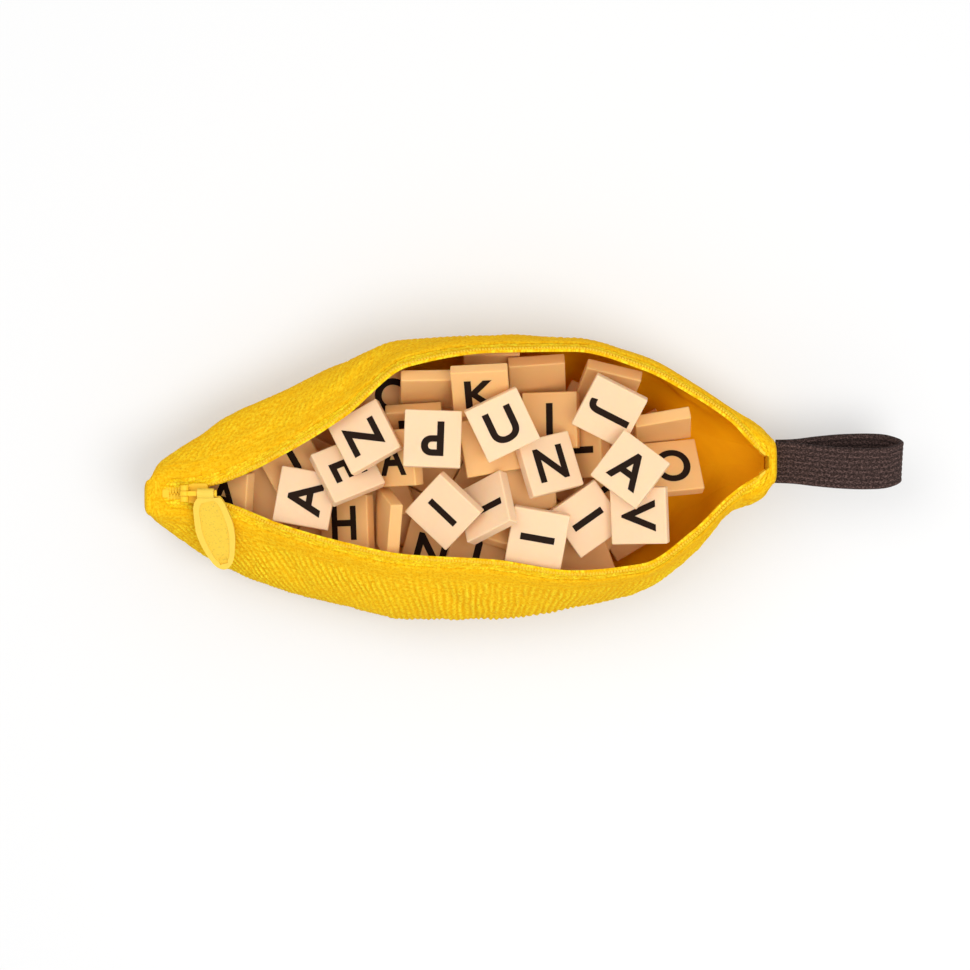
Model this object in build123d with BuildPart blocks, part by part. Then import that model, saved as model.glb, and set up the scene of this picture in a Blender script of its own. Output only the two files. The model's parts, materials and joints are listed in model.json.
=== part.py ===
from build123d import *
import os
from math import atan2, ceil, cos, hypot, pi, radians, sin

# Zipped cloth pouch with a hand strap, holding loose letter tiles.
# Frame: X runs along the pouch from the zip's closed end to the strap, Y across it,
# Z up. The origin is at the middle of the flat belly that the pouch stands on. Millimetres.

# ---------------------------------------------------------------- driving sizes
POUCH_LENGTH = 207.0       # without the strap, end caps included
POUCH_WIDTH = 93.4
RIM_HEIGHT = 44.0          # mouth rim above the table, at the middle of the pouch
RIM_DROP = 0.216 * RIM_HEIGHT      # how much lower the rim is at both ends
BELLY_RISE = 0.386 * RIM_HEIGHT    # how far the belly curves up at both ends
CLOTH = 1.1                # outer cloth
LINING = 0.5
LAYER_GAP = 0.3            # air between neighbouring layers of cloth
TAPE = 0.8                 # zip tape
TAPE_WIDTH = 9.0
LINING_HEM = 4.6           # how far the lining's edge stays below the zip teeth
END_CAP = 1.4              # thickness of the sewn cloth that closes each end
CAP_FACE = 0.85            # outer face of the cap, as a share of the pouch's end
TEETH_WIDTH = 1.1
TEETH_HEIGHT = 1.9
TEETH_PROUD = 0.45         # how far the teeth stand above the tape
STOP_LENGTH = 2.6
SEAM_BINDING_WIDTH = 9.0

SLIDER_WIDTH = 6.6
SLIDER_LENGTH = 8.8
SLIDER_PLATE = 1.1
SLIDER_CLEARANCE = 0.62
SLIDER_POST = 1.2
SLIDER_POST_LENGTH = 1.6
SLIDER_TRAVEL = 2.0        # length of closed chain left before the bottom stop
EAR_THICKNESS = 1.7
EAR_LENGTH = 2.6
PIN_RADIUS = 0.65
PIN_HEIGHT = 2.95          # bridge pin above the slider's top plate
LINK_WIDTH = 1.5
LINK_LENGTH = 6.4          # from the bridge pin to the tab's pin
TAB_PIN_LENGTH = 5.8
PIVOT_CLEARANCE = 0.06
SIDE_CLEARANCE = 0.2
KNUCKLE_WALL = 0.95
TAB_LENGTH = 26.5
TAB_WIDTH = 12.4
TAB_THICKNESS = 1.8
TAB_SWING = -13.0          # turn of the tab in its own plane, degrees
TAB_LEAN = 18.0            # slope of the tab where it lies on the pouch, degrees
TAB_RECESS = 0.35
TAB_DIMPLE = 2.8           # small pocket near the tab's tip

STRAP_WIDTH = 15.0
STRAP_THICKNESS = 1.5
STRAP_LENGTH = 41.5        # loop beyond the pouch
STRAP_OPEN = 9.0           # widest gap inside the loop
STRAP_ROOT = 1.0           # gap between the two layers where they leave the seam
STRAP_TILT = 28.0          # turn of the ribbon about its own length, degrees
ANCHOR_LENGTH = 1.6        # sewn root of the strap

TILE_SIDE = 18.5
TILE_THICKNESS = 4.2
TILE_ROUNDING = 0.5
TILE_GAP = 0.25

# ---------------------------------------------------------------- outline of the pouch
# Stations run along X as shares of the half length. The other lists are shares of the
# half width, one value for each station: the side and the rim, at the back and the front.
STATIONS = [-1.0, -0.977, -0.90, -0.84, -0.77, -0.58, -0.38, -0.17, 0.1, 0.36, 0.58, 0.75, 0.87, 0.965, 1.0]
BACK_SIDE = [-0.02, 0.09, 0.22, 0.30, 0.41, 0.60, 0.82, 0.975, 1.005, 0.99, 0.87, 0.665, 0.49, 0.355, 0.27]
FRONT_SIDE = [-0.24, -0.30, -0.43, -0.52, -0.61, -0.775, -0.89, -0.985, -0.985, -0.905, -0.785, -0.525,
              -0.225, -0.13, -0.02]
BACK_RIM = [-0.097, -0.097, -0.096, -0.077, -0.040, 0.155, 0.42, 0.785, 0.885, 0.895, 0.77, 0.58, 0.40,
            0.17, 0.128]
FRONT_RIM = [-0.108, -0.108, -0.107, -0.125, -0.150, -0.315, -0.44, -0.53, -0.565, -0.645, -0.60, -0.36,
             -0.11, 0.05, 0.116]
BACK_FULLNESS = 0.66       # height of the widest line, as a share of the wall
FRONT_FULLNESS = 0.45
BELLY_CROWN = 0.3          # sag of the belly that the table presses flat
SECTIONS = 26              # cross-sections along the pouch, closer at its ends
FLANK_POINTS = 8           # samples between two key points of a flank

FRONT = -1
BACK = 1
half_length = POUCH_LENGTH / 2 - END_CAP
half_width = POUCH_WIDTH / 2


def slope_at(values, i):
    """Slope of a station list at one station, flat where the list turns."""
    if i in (0, len(STATIONS) - 1):
        j = min(i, len(STATIONS) - 2)
        return (values[j + 1] - values[j]) / (STATIONS[j + 1] - STATIONS[j])
    before = (values[i] - values[i - 1]) / (STATIONS[i] - STATIONS[i - 1])
    after = (values[i + 1] - values[i]) / (STATIONS[i + 1] - STATIONS[i])
    if before * after <= 0:
        return 0.0
    return 2 * before * after / (before + after)


def along(values, x):
    """Value of a station list at a place along the pouch, on a smooth curve."""
    share = max(-1.0, min(1.0, x / half_length))
    i = 0
    while i < len(STATIONS) - 2 and share > STATIONS[i + 1]:
        i += 1
    span = STATIONS[i + 1] - STATIONS[i]
    t = (share - STATIONS[i]) / span
    rise = values[i + 1] - values[i]
    m0, m1 = span * slope_at(values, i), span * slope_at(values, i + 1)
    return values[i] + t * m0 + t * t * (3 * rise - 2 * m0 - m1) + t ** 3 * (m0 + m1 - 2 * rise)


def rim_z(x):
    return RIM_HEIGHT - RIM_DROP * min(1.0, abs(x) / (0.78 * half_length)) ** 2.5


def belly_z(x):
    bend = max(0.0, abs(x) / half_length - 0.42) / 0.58
    return BELLY_RISE * bend ** 2.2 - BELLY_CROWN


def seam_y(x):
    """The belly seam runs straight from tip to tip."""
    left = half_width * FRONT_RIM[0]
    right = half_width * FRONT_RIM[-1]
    return left + (right - left) * (x + half_length) / POUCH_LENGTH


def key_points(x, side):
    """Belly seam, belly edge, lower flank, widest line, foot of the tape, rim."""
    sides = BACK_SIDE if side == BACK else FRONT_SIDE
    rims = BACK_RIM if side == BACK else FRONT_RIM
    fullness = BACK_FULLNESS if side == BACK else FRONT_FULLNESS
    y_side = half_width * along(sides, x)
    y_rim = half_width * along(rims, x)
    z_rim = rim_z(x)
    z_belly = belly_z(x)
    z_wide = z_belly + fullness * (z_rim - z_belly)
    mouth = half_width * (along(BACK_RIM, x) - along(FRONT_RIM, x))
    openness = max(0.12, min(0.85, mouth / 20.0))
    slope = openness * atan2(z_rim - z_wide, abs(y_side - y_rim))
    reach = min(TAPE_WIDTH * 0.75, 0.5 * hypot(y_side - y_rim, z_rim - z_wide))
    y_seam = seam_y(x)
    return [
        (y_seam, z_belly),
        (y_seam + 0.48 * (y_side - y_seam), z_belly),
        (y_seam + 0.90 * (y_side - y_seam), z_belly + 0.36 * (z_wide - z_belly)),
        (y_side, z_wide),
        (y_rim + side * reach * cos(slope), z_rim - reach * sin(slope)),
        (y_rim, z_rim),
    ]


def flank(x, side):
    """Outer line of one side of the pouch at x, from the belly seam to the rim."""
    keys = key_points(x, side)
    first = (2 * keys[0][0] - keys[1][0], keys[1][1])
    last = (2 * keys[-1][0] - keys[-2][0], 2 * keys[-1][1] - keys[-2][1])
    keys = [first] + keys + [last]
    points = []
    for i in range(1, len(keys) - 2):
        p0, p1, p2, p3 = keys[i - 1:i + 3]
        chords = [max(1e-6, hypot(b[0] - a[0], b[1] - a[1])) ** 0.5
                  for a, b in ((p0, p1), (p1, p2), (p2, p3))]
        for step in range(FLANK_POINTS):
            y, z = curve_point(p0, p1, p2, p3, chords, step / FLANK_POINTS)
            points.append((y, max(z, keys[1][1])))
    points.append(keys[-2])
    return points


def curve_point(p0, p1, p2, p3, chords, t):
    """Point between p1 and p2 on the smooth curve through four points."""
    result = []
    for a, b, c, d in zip(p0, p1, p2, p3):
        m1 = (c - b) + chords[1] * ((b - a) / chords[0] - (c - a) / (chords[0] + chords[1]))
        m2 = (c - b) + chords[1] * ((d - c) / chords[2] - (d - b) / (chords[1] + chords[2]))
        cubic = 2 * (b - c) + m1 + m2
        square = 3 * (c - b) - 2 * m1 - m2
        result.append(((cubic * t + square) * t + m1) * t + b)
    return tuple(result)


def end_factor(x):
    """The skin slants towards the ends, so a section cuts it thicker there."""
    step = 0.02 * half_length
    before = half_width * (along(BACK_SIDE, x - step) - along(FRONT_SIDE, x - step)) / 2
    after = half_width * (along(BACK_SIDE, x + step) - along(FRONT_SIDE, x + step)) / 2
    run = min(half_length, x + step) - max(-half_length, x - step)
    return min(1.8, hypot(1.0, (after - before) / run))


def inset_line(x, side, depth):
    """The flank moved inwards by a depth, without the loop that a tight bend would make."""
    line = flank(x, side)
    moved = []
    for i, (y, z) in enumerate(line):
        ahead = line[min(i + 1, len(line) - 1)]
        behind = line[max(i - 1, 0)]
        dy, dz = ahead[0] - behind[0], ahead[1] - behind[1]
        length = hypot(dy, dz)
        move = depth * end_factor(x)
        point = (y - side * dz / length * move, z + side * dy / length * move)
        if moved and (point[0] - moved[-1][0]) * dy + (point[1] - moved[-1][1]) * dz < 0:
            point = moved[-1]
        moved.append(point)
    return moved


def stretch(line, outer, start, end, count):
    """Evenly spaced points of a line between two lengths, measured on the outer line."""
    lengths = [0.0]
    for a, b in zip(outer, outer[1:]):
        lengths.append(lengths[-1] + hypot(b[0] - a[0], b[1] - a[1]))
    total = lengths[-1]
    low = start if start >= 0 else total + start
    high = end if end > 0 else total + end
    points = []
    for n in range(count):
        want = low + (high - low) * n / (count - 1)
        i = 0
        while i < len(lengths) - 2 and lengths[i + 1] < want:
            i += 1
        t = (want - lengths[i]) / (lengths[i + 1] - lengths[i])
        points.append((line[i][0] + t * (line[i + 1][0] - line[i][0]),
                       line[i][1] + t * (line[i + 1][1] - line[i][1])))
    return points


def cloth_strip(side, top, bottom, start, end, count, x_from=-1.0, x_to=1.0):
    """Layer of cloth along the pouch, between two depths and two lengths of the flank.

    A length of zero or more counts from the belly seam, and a negative one, or an end
    of zero, counts from the rim.
    """
    even = [sin(pi / 2 * (2 * n / SECTIONS - 1)) for n in range(SECTIONS + 1)]
    places = [x_from] + [s for s in even if x_from + 0.004 < s < x_to - 0.004] + [x_to]
    with BuildPart() as strip:
        for share in places:
            x = share * half_length
            outer = flank(x, side)
            upper = stretch(inset_line(x, side, top), outer, start, end, count)
            lower = stretch(inset_line(x, side, bottom), outer, start, end, count)
            with BuildSketch(Plane.YZ.offset(x)):
                with BuildLine():
                    Spline(*upper)
                    Line(upper[-1], lower[-1])
                    Spline(*reversed(lower))
                    Line(lower[0], upper[0])
                make_face()
        loft(ruled=True)
    return strip


# ---------------------------------------------------------------- cloth
def flat_bottom(strip):
    """The table presses the belly flat."""
    with BuildPart() as pressed:
        add(strip.part)
        split(bisect_by=Plane.XY, keep=Keep.TOP)
    return pressed


def end_outline(end, beyond, shrink):
    """Outline of the pouch's end on a plane beyond it, drawn in towards its middle."""
    x = end * half_length
    front = flank(x, FRONT)[::5]
    back = flank(x, BACK)[::5]
    middle = ((front[0][0] + front[-1][0]) / 2, (front[0][1] + front[-1][1]) / 2)
    front, back = (
        [(middle[0] + shrink * (y - middle[0]), middle[1] + shrink * (z - middle[1])) for y, z in line]
        for line in (front, back))
    with BuildSketch(Plane.YZ.offset(x + end * beyond)) as outline:
        with BuildLine():
            Spline(*front)
            Spline(*back)
            Line(front[-1], back[-1])
        make_face()
    return outline


def end_cap(end):
    """Folded cloth that closes one end, a little smaller on its outside."""
    inner = end_outline(end, 0, 1.0)
    outer = end_outline(end, END_CAP, CAP_FACE)
    with BuildPart() as cap:
        loft(sections=[inner.sketch, outer.sketch])
    return cap


front_panel = flat_bottom(cloth_strip(FRONT, 0, CLOTH, 0.05, -TAPE_WIDTH, 13))
back_panel = flat_bottom(cloth_strip(BACK, 0, CLOTH, 0.05, -TAPE_WIDTH, 13))
left_end_cap = end_cap(FRONT)
right_end_cap = end_cap(BACK)

tape_top = 0.1
tape_foot = LAYER_GAP - TAPE_WIDTH
tape_edge = -TEETH_WIDTH - 0.12
tape_reach = 0.985         # share of the half length
zip_tape_front = cloth_strip(
    FRONT, tape_top, tape_top + TAPE, tape_foot, tape_edge, 5, -tape_reach, tape_reach)
zip_tape_back = cloth_strip(
    BACK, tape_top, tape_top + TAPE, tape_foot, tape_edge, 5, -tape_reach, tape_reach)

teeth_bottom = TEETH_HEIGHT - TEETH_PROUD
stop_reach = 0.955
stop_share = STOP_LENGTH / half_length
zip_teeth_front = cloth_strip(
    FRONT, -TEETH_PROUD, teeth_bottom, -TEETH_WIDTH, 0, 3, -stop_reach + stop_share, 0.95)
zip_teeth_back = cloth_strip(
    BACK, -TEETH_PROUD, teeth_bottom, -TEETH_WIDTH, 0, 3, -stop_reach + stop_share, 0.95)

lining_top = CLOTH + LAYER_GAP
binding_half = SEAM_BINDING_WIDTH / 2
lining_reach = 0.965
front_lining = cloth_strip(
    FRONT, lining_top, lining_top + LINING, binding_half + LAYER_GAP, -LINING_HEM, 11,
    -lining_reach, lining_reach)
back_lining = cloth_strip(
    BACK, lining_top, lining_top + LINING, binding_half + LAYER_GAP, -LINING_HEM, 11,
    -lining_reach, lining_reach)

with BuildPart() as seam_binding:
    for side in (FRONT, BACK):
        half = cloth_strip(side, lining_top, lining_top + LINING, 0, binding_half, 4,
                           -lining_reach, lining_reach)
        add(half.part)

# ---------------------------------------------------------------- zip hardware
zip_y = half_width * (along(BACK_RIM, -0.95 * half_length) + along(FRONT_RIM, -0.95 * half_length)) / 2
zip_z = rim_z(-0.9 * half_length)
teeth_top_z = zip_z + TEETH_PROUD
slider_left = -0.895 * half_length
slider_right = slider_left + SLIDER_LENGTH
top_plate_z = teeth_top_z + SLIDER_CLEARANCE
plate_top_z = top_plate_z + SLIDER_PLATE
tape_dip = 1.0             # fall of the tape below the teeth at the slider's sides
bottom_plate_z = zip_z - teeth_bottom - SLIDER_CLEARANCE - tape_dip

# Crimped block that closes the zip's blind end.
with BuildPart() as zip_bottom_stop:
    stop_x = -stop_reach * half_length + STOP_LENGTH / 2 - 0.25
    with BuildSketch(Plane.XY.offset(teeth_top_z + 0.1)):
        with Locations((stop_x, zip_y)):
            RectangleRounded(STOP_LENGTH - 0.5, 2 * TEETH_WIDTH + 0.4, 0.5)
    extrude(amount=-(TEETH_HEIGHT + 0.2))


def top_stop(side):
    """Small clip at the open end of one row of teeth."""
    return cloth_strip(side, -TEETH_PROUD - 0.1, teeth_bottom + 0.1, -TEETH_WIDTH, 0, 3, 0.953, 0.972)


zip_top_stop_front = top_stop(FRONT)
zip_top_stop_back = top_stop(BACK)

# The slider's plates taper towards the closed chain and are joined by a post.
with BuildPart() as slider_body:
    for z, up in ((top_plate_z, 1), (bottom_plate_z, -1)):
        with BuildSketch(Plane.XY.offset(z)):
            with BuildLine():
                Polyline(
                    (slider_left, zip_y - 0.36 * SLIDER_WIDTH),
                    (slider_left + 0.5 * SLIDER_LENGTH, zip_y - 0.5 * SLIDER_WIDTH),
                    (slider_right, zip_y - 0.5 * SLIDER_WIDTH),
                    (slider_right, zip_y + 0.5 * SLIDER_WIDTH),
                    (slider_left + 0.5 * SLIDER_LENGTH, zip_y + 0.5 * SLIDER_WIDTH),
                    (slider_left, zip_y + 0.36 * SLIDER_WIDTH),
                    close=True)
            make_face()
            fillet(vertices(), 0.9)
        extrude(amount=up * SLIDER_PLATE)
    with BuildSketch(Plane.XY.offset(bottom_plate_z)):
        with Locations((slider_right - SLIDER_POST_LENGTH / 2 - 0.1, zip_y)):
            RectangleRounded(SLIDER_POST_LENGTH, SLIDER_POST, 0.4)
    extrude(amount=top_plate_z - bottom_plate_z)
    top_edges = slider_body.edges().filter_by(Plane.XY).group_by(Axis.Z)[-1]
    fillet(top_edges, 0.3)

pin_x = slider_left + EAR_LENGTH / 2 + 0.1
pin_z = plate_top_z + PIN_HEIGHT
bridge_pin = Plane(origin=(pin_x, zip_y, pin_z), x_dir=(1, 0, 0), z_dir=(0, -1, 0))
ear_inside = LINK_WIDTH / 2 + SIDE_CLEARANCE
eye_radius = PIN_RADIUS + PIVOT_CLEARANCE + 0.75

# Two ears on the top plate carry the pin of the link.
with BuildPart() as slider_bridge:
    for side in (FRONT, BACK):
        with BuildSketch(bridge_pin.offset(-side * (ear_inside + EAR_THICKNESS / 2))):
            with BuildLine():
                foot = -PIN_HEIGHT
                Polyline((-EAR_LENGTH / 2, 0), (-EAR_LENGTH / 2, foot), (EAR_LENGTH / 2, foot),
                         (EAR_LENGTH / 2, 0))
                ThreePointArc((EAR_LENGTH / 2, 0), (0, EAR_LENGTH / 2), (-EAR_LENGTH / 2, 0))
            make_face()
        extrude(amount=EAR_THICKNESS / 2, both=True)
    with BuildSketch(bridge_pin):
        Circle(PIN_RADIUS)
    extrude(amount=ear_inside + EAR_THICKNESS / 2, both=True)

tab_pin_x = pin_x + LINK_LENGTH + 0.5
tab_pin_start = tab_pin_x - TAB_PIN_LENGTH / 2
knuckle_length = TAB_PIN_LENGTH - 2 * SIDE_CLEARANCE
knob_radius = PIN_RADIUS + 0.5
relief = 4.0               # length of the round cuts in the tab beside its knuckle
tab_pin = Plane(origin=(tab_pin_start, zip_y, pin_z), x_dir=(0, 1, 0), z_dir=(1, 0, 0))

# The link: an eye round the bridge pin, a flat bar, and a round pin with a knob for the tab.
with BuildPart() as pull_link:
    with BuildSketch(bridge_pin):
        Circle(eye_radius)
        with Locations(((tab_pin_start - pin_x) / 2, 0)):
            Rectangle(tab_pin_start - pin_x, 1.5)
    extrude(amount=LINK_WIDTH / 2, both=True)
    with BuildSketch(bridge_pin):
        Circle(PIN_RADIUS + PIVOT_CLEARANCE)
    extrude(amount=LINK_WIDTH, both=True, mode=Mode.SUBTRACT)
    with BuildSketch(tab_pin):
        Circle(PIN_RADIUS)
    extrude(amount=TAB_PIN_LENGTH)
    with BuildSketch(tab_pin.offset(TAB_PIN_LENGTH)):
        Circle(knob_radius)
    extrude(amount=0.7)

# The tab hangs from its pin towards the front and leans on the pouch.
lean = radians(TAB_LEAN)
swing = radians(TAB_SWING)
leaf_normal = (0, -sin(lean), cos(lean))
leaf_plane = Plane(
    origin=(tab_pin_x, zip_y, pin_z),
    x_dir=(-sin(swing), -cos(swing) * cos(lean), -cos(swing) * sin(lean)),
    z_dir=leaf_normal)
leaf_line = [(0.03, 0.24), (0.10, 0.37), (0.25, 0.45), (0.45, 0.5), (0.65, 0.45), (0.83, 0.335), (0.955, 0.19),
             (1.0, 0)]


def leaf(margin):
    """Outline of the tab, symmetric about its long axis."""
    half = [(share * (TAB_LENGTH - 2 * margin) + margin, width * (TAB_WIDTH - 2 * margin))
            for share, width in leaf_line]
    other = [(u, -v) for u, v in reversed(half[:-1])]
    with BuildLine() as line:
        Spline(*half, *other)
        Line(other[-1], half[0])
    return line


with BuildPart() as pull_tab:
    with BuildSketch(leaf_plane):
        add(leaf(0).line)
        make_face()
    extrude(amount=TAB_THICKNESS / 2, both=True)
    for face_side in (1, -1):
        with BuildSketch(leaf_plane.offset(face_side * TAB_THICKNESS / 2)):
            add(leaf(2.0).line)
            make_face()
        extrude(amount=-face_side * TAB_RECESS, mode=Mode.SUBTRACT)
    with BuildSketch(leaf_plane.offset(TAB_THICKNESS / 2)):
        with Locations((TAB_LENGTH - 1.1 * TAB_DIMPLE, 0)):
            RectangleRounded(0.8 * TAB_DIMPLE, TAB_DIMPLE, 0.3)
    extrude(amount=-2 * TAB_RECESS, mode=Mode.SUBTRACT)
    with BuildSketch(tab_pin.offset(SIDE_CLEARANCE)):
        Circle(PIN_RADIUS + PIVOT_CLEARANCE + KNUCKLE_WALL)
    extrude(amount=knuckle_length)
    with BuildSketch(tab_pin):
        Circle(PIN_RADIUS + PIVOT_CLEARANCE)
    extrude(amount=TAB_PIN_LENGTH, mode=Mode.SUBTRACT)
    with BuildSketch(tab_pin.offset(SIDE_CLEARANCE)):
        Circle(knob_radius + 0.3)
    extrude(amount=-relief, mode=Mode.SUBTRACT)
    with BuildSketch(tab_pin.offset(SIDE_CLEARANCE + knuckle_length)):
        Circle(knob_radius + 0.3)
    extrude(amount=relief, mode=Mode.SUBTRACT)

# ---------------------------------------------------------------- hand strap
tilt = radians(STRAP_TILT)
strap_across = (0, cos(tilt), sin(tilt))
end_front, end_back = flank(half_length, FRONT), flank(half_length, BACK)
strap_y = (min(p[0] for p in end_front) + max(p[0] for p in end_back)) / 2
strap_z = (end_front[0][1] + end_front[-1][1]) / 2 + 0.5
root_half = STRAP_ROOT / 2 + STRAP_THICKNESS
anchor_x = half_length + END_CAP
strap_pivot_x = anchor_x + ANCHOR_LENGTH + LAYER_GAP + root_half


def strap_plane(x):
    """Plane of the loop's side view, with its middle on the ribbon's middle."""
    return Plane(origin=(x, strap_y, strap_z), x_dir=(1, 0, 0), z_dir=strap_across)


with BuildPart() as strap_anchor:
    with BuildSketch(strap_plane(anchor_x)):
        with Locations((ANCHOR_LENGTH / 2, 0)):
            Rectangle(ANCHOR_LENGTH, 2 * root_half)
    extrude(amount=STRAP_WIDTH / 2, both=True)


def loop_line(grow):
    """Outline of the loop in side view, grown or shrunk from the outer one."""
    reach = anchor_x + STRAP_LENGTH - strap_pivot_x
    open_half = STRAP_OPEN / 2 + STRAP_THICKNESS + grow
    start = -root_half * 0.7 if grow == 0 else STRAP_THICKNESS
    root = root_half + grow
    upper = [(start, root * (0.7 if grow == 0 else 1.0)), (0.16 * reach, root + 0.22 * (open_half - root)),
             (0.5 * reach, root + 0.82 * (open_half - root)), (0.76 * reach, open_half),
             (0.93 * reach + 0.4 * grow, 0.72 * open_half), (reach + grow, 0)]
    lower = [(u, -v) for u, v in reversed(upper[:-1])]
    with BuildLine() as line:
        Spline(*upper, *lower)
        if grow == 0:
            ThreePointArc(lower[-1], (-root_half, 0), upper[0])
        else:
            Line(lower[-1], upper[0])
    return line


with BuildPart() as strap_loop:
    with BuildSketch(strap_plane(strap_pivot_x)):
        add(loop_line(0).line)
        make_face()
    extrude(amount=STRAP_WIDTH / 2, both=True)
    with BuildSketch(strap_plane(strap_pivot_x)):
        add(loop_line(-STRAP_THICKNESS).line)
        make_face()
    extrude(amount=STRAP_WIDTH, both=True, mode=Mode.SUBTRACT)

# ---------------------------------------------------------------- letter tiles
# Loose tiles lie where they fall. Each one has a place, given as shares of the half
# length and half width, the heading of its letter, the direction its face leans
# towards and how far it leans, in degrees, and is lowered until it meets the lining
# or a tile that lies there already.
SUNK_TILES = [
    (-0.100, -0.520, -15, 75, 26),
    (0.053, -0.500, -14, 90, 14),
    (0.391, -0.555, 20, 90, 28),
    (0.180, -0.440, -20, 80, 30),
    (-0.260, -0.100, 20, 180, 10),
    (0.480, -0.170, 25, 160, 12),
    (0.209, -0.100, -10, 0, 8),
    (0.091, 0.233, 10, 30, 6),
    (-0.231, 0.600, -20, -60, 20),
]
WALL_TILES = [
    (-0.107, 0.721, 3, -88, 62),
    (0.097, 0.827, 0, -90, 66),
    (0.244, 0.756, 4, -86, 55),
    (0.473, 0.657, -20, -100, 55),
    (0.646, 0.367, 8, -80, 70),
    (0.678, 0.170, 5, 75, 38),
    (0.403, 0.205, 4, 182, 50),
    (-0.234, -0.360, -5, 180, 74),
    (-0.623, -0.099, 60, 190, 30),
    (-0.697, -0.106, 75, 200, 38),
    (-0.553, 0.134, 30, -60, 14),
]
LOOSE_TILES = [
    (-0.151, 0.530, 5, -88, 48),
    (-0.202, 0.148, 5, 188, 42),
    (-0.368, -0.311, 4, 182, 40),
    (0.062, 0.615, -2, -90, 40),
    (0.279, 0.488, -8, 170, 14),
    (0.473, 0.473, -117, -108, 38),
    (0.279, 0.099, -1, 30, 24),
    (0.390, -0.240, 35, -40, 16),
    (0.245, -0.440, -10, -100, 14),
    (0.569, -0.254, -94, 200, 36),
    (-0.502, -0.184, 80, 71, 26),
    (-0.356, 0.057, -66, 66, 24),
    (-0.301, 0.389, -38, 145, 16),
    (-0.090, 0.276, 178, 90, 4),
    (0.091, -0.200, -62, 160, 24),
    (-0.049, -0.163, 50, -135, 24),
    (0.537, 0.064, -37, 140, 18),
    (0.130, 0.375, 36, -60, 10),
]
HEAP_LEVELS = 3            # layers of flat tiles under the visible ones
HEAP_RIGHT = 0.72          # right end of the lowest layer, as a share of the half length
WALL_GAP = 0.45            # between a tile and the lining
MOVE_STEPS = [1.8, 1.8, 7.0, 7.0]
MOVE_WEIGHTS = [0.5, 0.5, 0.05, 0.09]

cavity_depth = lining_top + LINING + WALL_GAP
heap_limit = 0.93 * half_length


def dot(a, b):
    return a[0] * b[0] + a[1] * b[1] + a[2] * b[2]


def cross(a, b):
    return (a[1] * b[2] - a[2] * b[1], a[2] * b[0] - a[0] * b[2], a[0] * b[1] - a[1] * b[0])


def unit(a):
    length = dot(a, a) ** 0.5
    return tuple(value / length for value in a)


def tile_axes(heading, lean_to, lean_by):
    """Letter direction, letter-up direction and face normal of a tile."""
    h, to, by = radians(heading), radians(lean_to), radians(lean_by)
    normal = (sin(by) * cos(to), sin(by) * sin(to), cos(by))
    reading = (cos(h), sin(h), 0.0)
    reading = unit(tuple(r - dot(reading, normal) * n for r, n in zip(reading, normal)))
    return reading, cross(normal, reading), normal


tile_halves = (TILE_SIDE / 2, TILE_SIDE / 2, TILE_THICKNESS / 2)
tile_grid = [(a * tile_halves[0], b * tile_halves[1], c * tile_halves[2])
             for a in (-1, 0, 1) for b in (-1, 0, 1) for c in (-1, 1)]
cavity_lines = {}


def cavity_line(x, side):
    """Inner line of the lining near x."""
    key = (round(x), side)
    if key not in cavity_lines:
        cavity_lines[key] = inset_line(round(x), side, cavity_depth)
    return cavity_lines[key]


def wall_heights(x, y):
    """Heights of the floor and of the wall overhead at a place, or None outside."""
    side = BACK if y > seam_y(x) else FRONT
    line = cavity_line(x, side)
    floor, roof = None, 1000.0
    for (y0, z0), (y1, z1) in zip(line, line[1:]):
        if min(y0, y1) <= y <= max(y0, y1) and y0 != y1:
            z = z0 + (z1 - z0) * (y - y0) / (y1 - y0)
            if (y1 - y0) * side > 0:
                floor = z if floor is None else max(floor, z)
            else:
                roof = min(roof, z)
    if floor is None and abs(y - seam_y(x)) < 3.0:
        floor = line[0][1]
    return None if floor is None else (floor, roof)


def room_for(x, y, axes):
    """Lowest and highest middle of a tile in the empty pouch, or None at a wall."""
    low, high = -1000.0, 1000.0
    for a, b, c in tile_grid:
        offset = [a * u + b * v + c * w for u, v, w in zip(*axes)]
        if abs(x + offset[0]) > heap_limit:
            return None
        heights = wall_heights(x + offset[0], y + offset[1])
        if heights is None:
            return None
        low = max(low, heights[0] - offset[2])
        high = min(high, heights[1] - offset[2])
    return low, high


def meeting(centre, axes, other):
    """Heights between which a tile would overlap another one, or None."""
    other_centre, other_axes = other
    gap = [p - q for p, q in zip(centre, other_centre)]
    if gap[0] ** 2 + gap[1] ** 2 > 2 * (TILE_SIDE + TILE_THICKNESS) ** 2:
        return None
    low, high = -1000.0, 1000.0
    halves = [half + TILE_GAP / 2 for half in tile_halves]
    candidates = list(axes) + list(other_axes) + [cross(a, b) for a in axes for b in other_axes]
    for axis in candidates:
        if dot(axis, axis) < 1e-6:
            continue
        axis = unit(axis)
        reach = sum(half * abs(dot(own, axis)) for half, own in zip(halves, axes))
        reach += sum(half * abs(dot(own, axis)) for half, own in zip(halves, other_axes))
        apart = dot(gap, axis)
        if abs(axis[2]) < 1e-9:
            if abs(apart) >= reach:
                return None
            continue
        ends = sorted(((-reach - apart) / axis[2], (reach - apart) / axis[2]))
        low, high = max(low, ends[0]), min(high, ends[1])
        if low >= high:
            return None
    return low, high


def rest_height(x, y, axes, placed):
    """Height at which a tile comes to rest on the pile, or None where it has no room."""
    room = room_for(x, y, axes)
    if room is None or room[0] >= room[1]:
        return None
    height = room[0]
    for other in placed:
        hit = meeting((x, y, 0.0), axes, other)
        if hit and hit[1] > height:
            height = hit[1]
    return height if height <= room[1] else None


def into_mouth(x, y):
    """A small move away from the walls."""
    middle = half_width * (along(BACK_RIM, x) + along(FRONT_RIM, x)) / 2
    return x - 0.008 * x, y + 0.05 * (middle - y) + (0.15 if middle > y else -0.15)


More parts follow.
